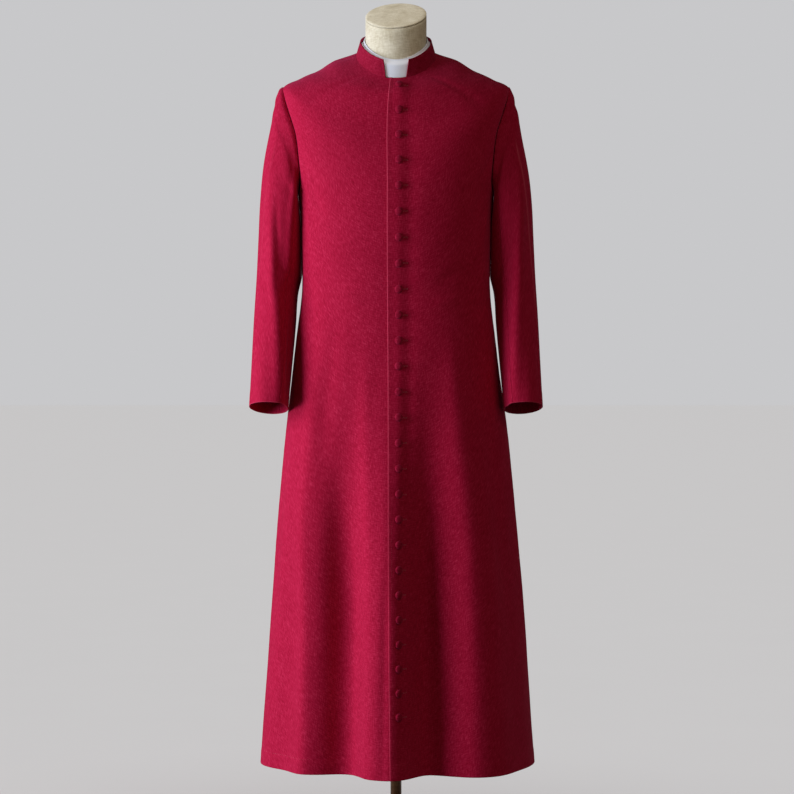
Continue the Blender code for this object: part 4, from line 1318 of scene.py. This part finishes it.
def make_collar():
    height = collar_height()
    foot = -COLLAR_BELOW_SEAM / height
    up = (foot + (1 - foot) * crowded(height, COLLAR_ROW_STEP) / height)[::-1][:, None]
    start = collar_angle(notch_half(up), up)
    across = piece_columns(collar, start, 2 * math.pi - start, up, COLLAR_COLUMN_STEP, 0.0)
    rows = np.broadcast_to(up, across.shape)
    base = collar(across, rows)
    normal = outward(collar, across, rows, True)
    relief = unevenness(across * 0.075, rows * height, 0.0003)
    to_top = (1 - rows) * height
    side = along_grid(base, 1)
    to_end = np.minimum(side, side[:, -1:] - side)
    near = np.minimum(to_top, to_end)
    relief -= 0.0004 * bell(near - COLLAR_STITCH, 0.0013)
    relief += 0.0003 * bell(near, 0.0035)
    relief += COLLAR_CURL * np.exp(-side / 0.011) * fade(rows, 0.0, 0.5)
    piece = shell("cloth_collar", base, normal, relief, COLLAR_WALL, COLLAR_CLOTH_PAINTED_SHADE)
    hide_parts("collar")
    return piece


def make_band():
    height = collar_height()
    low = INSERT_FOOT
    high = height + INSERT_PROUD
    up = ((low + crowded(high - low, COLLAR_ROW_STEP)) / height)[::-1][:, None]
    turns = np.linspace(0, 2 * math.pi, 181)
    across = np.tile(turns, (len(up), 1))
    rows = np.broadcast_to(up, across.shape)
    normal = outward(collar, across, rows, True)
    base = collar(across, rows) - normal * (COLLAR_WALL + INSERT_CLEARANCE)
    room = np.hypot(base[..., 0], base[..., 1] - NECK_CENTRE_Y) - NECK_RADIUS - BAND_THICK
    lean = -np.clip(room - 0.0008, 0, 0.0065) * fade(rows, 0.72, high / height)
    piece = shell("white_band", base, normal, lean, BAND_THICK, BAND, ring=True)
    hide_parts("collar_insert")
    return piece


# ---- Buttons, buttonholes and stitches --------------------------------------------
FRONT_DOWNS = np.linspace(0, HEM_DOWN, 400)


def on_front(x, z):
    """Places and normals on the upper front's finished face, from their x and height."""
    x, z = np.broadcast_arrays(np.asarray(x, float), np.asarray(z, float))
    heights = body(np.zeros_like(FRONT_DOWNS), FRONT_DOWNS)[:, 2]
    down = np.interp(-z, -heights, FRONT_DOWNS)
    for _ in range(3):
        angle = angle_at_x(x, down)
        down = down + (body(angle, down)[..., 2] - z)
    angle = angle_at_x(x, down)
    base = body(angle, down)
    normal = outward(body, angle, down, False)
    relief = panel_relief(angle, down, base) + lap_lift(base, down)
    return base + normal * relief[..., None], normal


# The dome of a covered button, as shares of its radius and its height.
DomeRow = namedtuple("DomeRow", "radius_share height_share")
BUTTON_DOME = (
    DomeRow(0.02, 0.00),
    DomeRow(0.45, 0.00),
    DomeRow(0.72, 0.02),
    DomeRow(0.90, 0.10),
    DomeRow(0.985, 0.24),
    DomeRow(1.00, 0.37),
    DomeRow(0.975, 0.50),
    DomeRow(0.90, 0.66),
    DomeRow(0.78, 0.80),
    DomeRow(0.60, 0.91),
    DomeRow(0.38, 0.975),
    DomeRow(0.18, 0.997),
    DomeRow(0.02, 1.00),
)
SHANK_RADIUS = 0.0016
BUTTON_SEGMENTS = 36
BUTTON_GATHERS = 13


def make_buttons():
    """All the covered buttons as one piece; each leans and is gathered a little its own way."""
    radius = BUTTON_DIAMETER / 2
    centres, normals = on_front(BUTTONS[:, 0], BUTTONS[:, 1])
    points = []
    uv = []
    quads = []
    turns = np.linspace(0, 2 * math.pi, BUTTON_SEGMENTS, endpoint=False)
    for number, (centre, normal) in enumerate(zip(centres, normals)):
        lean = np.array((math.sin(number * 2.1), 0.0, math.cos(number * 3.3))) * 0.035
        axis = unit(normal + lean)
        first, second = (part[0] for part in frames(axis[None]))
        quads.append(tube_quads(len(BUTTON_DOME), BUTTON_SEGMENTS) + len(points) * BUTTON_SEGMENTS)
        for row in BUTTON_DOME:
            gather = np.clip(1 - abs(row.height_share - 0.2) / 0.35, 0, 1) * (row.radius_share > 0.6)
            ripple = 1 + 0.012 * gather * np.cos(BUTTON_GATHERS * turns + number)
            reach = radius * row.radius_share * ripple
            flat = np.column_stack((reach * np.cos(turns), reach * np.sin(turns)))
            middle = centre + axis * (BUTTON_GAP + BUTTON_HEIGHT * row.height_share)
            points.append(middle + flat[:, :1] * first + flat[:, 1:] * second)
            uv.append(flat + (0.0, 0.03 * number))
    points, quads, uv = (np.concatenate(part) for part in (points, quads, uv))
    piece = mesh_object("covered_buttons", points, quads, uv, BUTTON_CLOTH_PAINTED_SHADE)
    piece.data.shade_smooth()
    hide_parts(*(f"button_{number:02d}" for number in range(1, BUTTON_COUNT + 1)))
    return piece


def make_shanks():
    """The bound thread under each button."""
    centres, normals = on_front(BUTTONS[:, 0], BUTTONS[:, 1])
    middle = centres + normals * BUTTON_GAP * 0.5
    across = frames(normals)[0]
    return stitches("button_shanks", middle, normals, across, BUTTON_GAP * 2.4, SHANK_RADIUS, THREAD)


# A buttonhole, from its button's middle: where it starts and ends, and its half width.
HOLE_FROM = -0.0030
HOLE_TO = 0.0165
HOLE_HALF = 0.00085
HOLE_BARS = 30


def make_buttonholes():
    """Worked buttonholes: bars of thread on both sides of each slit and across its end."""
    along = np.linspace(HOLE_FROM, HOLE_TO, HOLE_BARS)
    x, z, flat = [], [], []
    for number, (button_x, button_z) in enumerate(BUTTONS):
        tip = 0.0006 * math.sin(number * 1.9)
        for side in (-1, 1):
            x.append(button_x + along)
            z.append(button_z + side * HOLE_HALF + tip * along / HOLE_TO)
            flat.append(np.zeros(HOLE_BARS))
        end = np.linspace(-1, 1, 5)
        x.append(button_x + HOLE_TO + 0.0005 + 0 * end)
        z.append(button_z + end * HOLE_HALF * 1.3 + tip)
        flat.append(np.ones(5))
    x, z, flat = (np.concatenate(part) for part in (x, z, flat))
    centres, normals = on_front(x, z)
    upright = unit(np.cross(normals, (1.0, 0.0, 0.0)))
    level = np.cross(upright, normals)
    tangents = np.where(flat[:, None] > 0, level, upright)
    centres = centres + normals * 0.0001
    return stitches("buttonhole_stitches", centres, tangents, normals, 0.0015, 0.00026, THREAD)


def between(at, knots, vectors):
    """Vectors in between the given ones."""
    return np.column_stack([np.interp(at, knots, part) for part in vectors.T])


def seam_stitches(name, points, normals, pitch, length, radius):
    """A row of stitches, evenly spaced along a line of points."""
    steps = distances(points)
    at = np.arange(pitch / 2, steps[-1], pitch)
    ahead, behind = (between(at + pitch * way, steps, points) for way in (0.3, -0.3))
    tangents = unit(ahead - behind)
    lift = between(at / steps[-1], np.linspace(0, 1, len(normals)), normals)
    lift = unit(lift - tangents * (lift * tangents).sum(axis=1, keepdims=True))
    places = between(at, steps, points) + lift * 0.00005
    return stitches(name, places, tangents, lift, length, radius, THREAD)


def on_body(angle, down):
    """Places and normals on the finished cloth; past the front edge the upper front is it."""
    base = body(angle, down)
    normal = outward(body, angle, down, False)
    upper = (base[..., 0] > front_edge_x(down)) & (base[..., 1] < 0)
    relief = panel_relief(angle, down, base) + np.where(upper, lap_lift(base, down), 0)
    return base + normal * relief[..., None], normal


# Machine stitches, in metres: from one to the next, their length and their radius.
Stitch = namedtuple("Stitch", "pitch length radius")
EDGE_STITCHES = Stitch(0.0037, 0.0029, 0.00020)
HEM_STITCHES = Stitch(0.0052, 0.0030, 0.00019)
COLLAR_STITCHES = Stitch(0.0034, 0.0026, 0.00019)


def body_stitches(name, angle, down, sunk, stitch):
    points, normals = on_body(angle, down)
    return seam_stitches(name, points - normals * sunk, normals, *stitch)


def collar_stitches(name, angle, up):
    return seam_stitches(name, collar(angle, up), outward(collar, angle, up, True), *COLLAR_STITCHES)


def make_stitch_lines():
    down = np.linspace(0.006, HEM_DOWN - 0.004, 900)
    angle = angle_at_x(front_edge_x(down) + EDGE_STITCH, down)
    pieces = [body_stitches("front_edge_stitching", angle, down, 0.0003, EDGE_STITCHES)]
    start = float(angle_at_x(front_edge_x(np.array(HEM_DOWN)) + 0.010, np.array(HEM_DOWN)))
    angle = np.linspace(start, 2 * math.pi + start - 0.075, 2400)
    down = np.full_like(angle, HEM_DOWN - HEM_DEPTH)
    pieces.append(body_stitches("hem_stitching", angle, down, 0.0002, HEM_STITCHES))
    top = 1 - COLLAR_STITCH / collar_height()
    start = math.asin(NOTCH_HALF_TOP / COLLAR_TOP.half_width) + COLLAR_STITCH / COLLAR_TOP.half_width
    angle = np.linspace(start, 2 * math.pi - start, 500)
    pieces.append(collar_stitches("collar_stitching", angle, np.full(500, top)))
    up = np.linspace(0.08, top, 60)
    angle = collar_angle(notch_half(up) + COLLAR_STITCH, up)
    for side, sign in (("left", 1), ("right", -1)):
        pieces.append(collar_stitches(f"collar_end_stitching_{side}", angle * sign, up))
    return pieces


# ---- The dress form and its stand -------------------------------------------------
CapRow = namedtuple("CapRow", "radius_share height")
NECK_CAP_ROWS = (
    CapRow(0.955, 0.0000),
    CapRow(0.978, 0.0004),
    CapRow(0.992, 0.0009),
    CapRow(0.999, 0.0015),
    CapRow(1.000, 0.0021),
    CapRow(0.995, 0.0028),
    CapRow(0.980, 0.0035),
    CapRow(0.955, 0.0041),
    CapRow(0.915, 0.0046),
    CapRow(0.850, 0.0050),
    CapRow(0.760, 0.0054),
    CapRow(0.600, 0.0058),
    CapRow(0.400, 0.0061),
    CapRow(0.200, 0.0063),
    CapRow(0.020, 0.0064),
)
ROUND = 96  # points in each ring of the form
FORM_RINGS = 44
NECK_SHARES = (*np.linspace(1, 0.12, 14), 0.05, 0.0)  # rings of the neck, from its cut down
RIM_ROUNDING = 0.0006


def form_ring(down):
    angle = np.linspace(0, 2 * math.pi, ROUND, endpoint=False)
    down = np.full_like(angle, down)

    def unfolded(across, along):
        return body(across, along, folded=False)

    inset = CLOTH_WALL + body_value("ease", down)
    return unfolded(angle, down) - outward(unfolded, angle, down, False) * inset[:, None]


def neck_cut(radius, above=0.0):
    """A ring on the slanted cut through the form's neck, or above it."""
    ring = circle(radius, 0, ROUND, NECK_CENTRE_Y)
    back = math.tan(NECK_CAP_TILT) * (ring[:, 1] - NECK_CENTRE_Y)
    ring[:, 2] = NECK_CAP_CENTRE_Z + back + math.tan(NECK_CAP_ROLL) * ring[:, 0] + above
    return ring


def make_form():
    foot = form_ring(HIP_DOWN)
    foot[:, 2] = FORM_FOOT_Z
    foot_round = foot.copy()
    foot_round[:, 2] += 0.004
    foot[:, :2] *= 0.985
    downs = FORM_TOP_DOWN + np.linspace(0, 1, FORM_RINGS) * (HIP_DOWN - FORM_TOP_DOWN)
    rings = [form_ring(down) for down in downs]
    top = neck_cut(NECK_RADIUS)
    neck_foot = circle(NECK_RADIUS, 0, ROUND, NECK_CENTRE_Y)
    neck_foot[:, 2] = rings[0][:, 2] + NECK_FOOT_RISE
    neck = [neck_foot + (top - neck_foot) * share for share in NECK_SHARES]
    neck[0][:, 2] -= 3 * RIM_ROUNDING
    rim = [neck_cut(NECK_RADIUS - 3 * RIM_ROUNDING), neck_cut(NECK_RADIUS - RIM_ROUNDING, -RIM_ROUNDING)]
    bore = POLE_RADIUS + BORE_CLEARANCE
    ends = [circle(bore, z, ROUND) for z in (FORM_FOOT_Z, FORM_FOOT_Z + POLE_IN_FORM + MESH_GAP)]
    piece = loft("linen_form", rim + neck + rings + [foot_round, foot] + ends, LINEN)
    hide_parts("form_torso")
    cap = [neck_cut(NECK_RADIUS * row.radius_share, MESH_GAP + row.height) for row in NECK_CAP_ROWS]
    lid = loft("linen_neck_cap", cap, LINEN)
    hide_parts("form_neck_cap")
    return [piece, lid]


AXIS_HOLE = 0.0010  # a turned solid's ends are filled across this radius


def make_stand():
    pole_foot = HUB_HEIGHT - POLE_IN_BASE
    pole_top = FORM_FOOT_Z + POLE_IN_FORM
    radius = POLE_RADIUS
    pole = turned(
        "stand_pole_tube",
        (
            (AXIS_HOLE, pole_foot),
            (radius - 0.0006, pole_foot),
            (radius, pole_foot + 0.0006),
            (radius, 0.30),
            (radius, 0.60),
            (radius, pole_top - 0.0006),
            (radius - 0.0006, pole_top),
            (AXIS_HOLE, pole_top),
        ),
        64,
        METAL,
    )
    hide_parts("stand_pole")
    edge = BASE_RADIUS
    bore = POLE_RADIUS + BORE_CLEARANCE
    foot = turned(
        "stand_base_plate",
        (
            (AXIS_HOLE, 0.0),
            (edge - 0.0030, 0.0),
            (edge - 0.0008, 0.0008),
            (edge, 0.0030),
            (edge, BASE_EDGE_HEIGHT - 0.0036),
            (edge - 0.0008, BASE_EDGE_HEIGHT - 0.0014),
            (edge - 0.0030, BASE_EDGE_HEIGHT - 0.0002),
            (edge - 0.0060, BASE_EDGE_HEIGHT + 0.0002),
            (edge * 0.82, BASE_EDGE_HEIGHT + 0.0016),
            (edge * 0.6, (BASE_EDGE_HEIGHT + BASE_CROWN_HEIGHT) / 2),
            (edge * 0.36, BASE_CROWN_HEIGHT - 0.0016),
            (HUB_RADIUS * 1.5, BASE_CROWN_HEIGHT),
            (HUB_RADIUS * 1.2, BASE_CROWN_HEIGHT + 0.0014),
            (HUB_RADIUS * 1.04, BASE_CROWN_HEIGHT + 0.0040),
            (HUB_RADIUS, BASE_CROWN_HEIGHT + 0.0075),
            (HUB_RADIUS, HUB_HEIGHT - 0.0026),
            (HUB_RADIUS - 0.0008, HUB_HEIGHT - 0.0008),
            (HUB_RADIUS - 0.0026, HUB_HEIGHT),
            (bore, HUB_HEIGHT),
            (bore, pole_foot - MESH_GAP),
            (AXIS_HOLE, pole_foot - MESH_GAP),
        ),
        128,
        METAL,
    )
    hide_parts("stand_base")
    return [pole, foot]


# ---- The studio -------------------------------------------------------------------
PALE = 0.578  # the backdrop, as the camera sees it
AIR = 0.085  # what lights the object from all round
FLOOR_LIGHT = 2.80
SoftLight = namedtuple("SoftLight", "place target size power colour")
LIGHTS = {
    "key": SoftLight((-2.57, -0.84, 1.34), (0.0, 0.0, 1.14), (1.9, 2.2), 110, (0.95, 1.0, 1.08)),
    "fill": SoftLight((1.8, -2.8, 2.4), (0.0, 0.0, 1.1), (1.6, 1.6), 13.4, (1.0, 0.80, 0.58)),
    "behind": SoftLight((0.0, 6.0, 1.1), (0.0, 0.0, 0.9), (1.2, 1.6), 120, (1.0, 0.95, 0.90)),
    "crown": SoftLight((-0.20, -0.40, 3.1), (0.0, 0.0, 1.65), (0.8, 0.8), 11.5, (1.0, 0.94, 0.84)),
}
CAMERA_PLACE = (0.0020, -4.5, 0.900)
CAMERA_LENS = 102.0  # millimetres, on a sensor 36 mm wide


def make_floor():
    points = np.array([(x, y, 0.0) for y in (-60.0, 240.0) for x in (-150.0, 150.0)])
    corners = np.array([(0, 1, 3, 2)])
    floor = mesh_object("studio_floor", points, corners, np.zeros((4, 2)), plain_floor())
    floor.visible_diffuse = False
    return floor


def soft_light(name):
    row = LIGHTS[name]
    light = bpy.data.lights.new(name, "AREA")
    light.color = row.colour
    light.shape = "RECTANGLE"
    light.size, light.size_y = row.size
    light.energy = row.power
    lamp = in_scene(name, light)
    lamp.location = row.place
    lamp.rotation_euler = (Vector(row.target) - Vector(row.place)).to_track_quat("-Z", "Y").to_euler()
    return lamp


def light_only(lamps, things, state):
    """Makes lamps light just some things, or everything but them."""
    group = bpy.data.collections.new(f"{lamps[0].name}_{state.lower()}")
    for thing in things:
        group.objects.link(thing)
    for member in group.collection_objects:
        member.light_linking.link_state = state
    for lamp in lamps:
        lamp.light_linking.receiver_collection = group


def make_studio(lit_above):
    """lit_above are the pieces that the crown light reaches, the neck and the white band."""
    floor = make_floor()
    light_only([soft_light(name) for name in ("key", "fill", "behind")], [floor], "EXCLUDE")
    light_only([soft_light("crown")], lit_above, "INCLUDE")
    sky = bpy.data.lights.new("overhead", "SUN")
    sky.energy = FLOOR_LIGHT
    sky.angle = math.radians(75)
    light_only([in_scene("overhead", sky)], [floor], "INCLUDE")
    world = bpy.data.worlds.new("studio_air")
    world.use_nodes = True
    tree = world.node_tree
    seen = tree.nodes.new("ShaderNodeLightPath")
    mix = tree.nodes.new("ShaderNodeMix")
    mix.data_type = "RGBA"
    for slot in mix.inputs:
        if slot.type == "RGBA" and slot.name == "A":
            slot.default_value = (AIR, AIR * 0.82, AIR * 0.62, 1)
        if slot.type == "RGBA" and slot.name == "B":
            slot.default_value = (PALE, PALE, PALE * 1.022, 1)
    tree.links.new(seen.outputs["Is Camera Ray"], mix.inputs["Factor"])
    result = [slot for slot in mix.outputs if slot.type == "RGBA"][0]
    tree.links.new(result, tree.nodes["Background"].inputs["Color"])
    bpy.context.scene.world = world
    bpy.context.scene.view_settings.view_transform = "Standard"


def make_camera():
    camera = bpy.data.cameras.new("camera")
    camera.sensor_width = 36.0
    camera.lens = CAMERA_LENS
    holder = in_scene("camera", camera)
    holder.location = CAMERA_PLACE
    holder.rotation_euler = (math.pi / 2, 0, 0)
    bpy.context.scene.camera = holder


# ---- A record for a laid-out piece ------------------------------------------------
# A piece laid out flat: its width, its length and its area. There was no pattern to go
# by; the script defines this record but fills in none.
Cut = namedtuple("Cut", "width length area")


def main():
    make_camera()
    cloth = make_body()
    # The last number sets how strongly each sleeve's welt is painted light, a painted highlight.
    cloth.update(make_sleeve("left", False, LEFT_SLEEVE_CREASES, LEFT_HEAD, 0.9))
    cloth.update(make_sleeve("right", True, RIGHT_SLEEVE_CREASES, RIGHT_HEAD, 0.12))
    cloth["collar"] = make_collar()
    cloth["collar_insert"] = make_band()
    trims = [make_buttons(), make_shanks(), make_buttonholes()] + make_stitch_lines()
    form = make_form()
    stand = make_stand()
    for node, piece in cloth.items():
        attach(piece, "root")
    for piece in trims:
        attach(piece, "root")
    for piece in form:
        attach(piece, "root")
    for piece in stand:
        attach(piece, "root")
    make_studio(form + [cloth["collar_insert"]])


main()
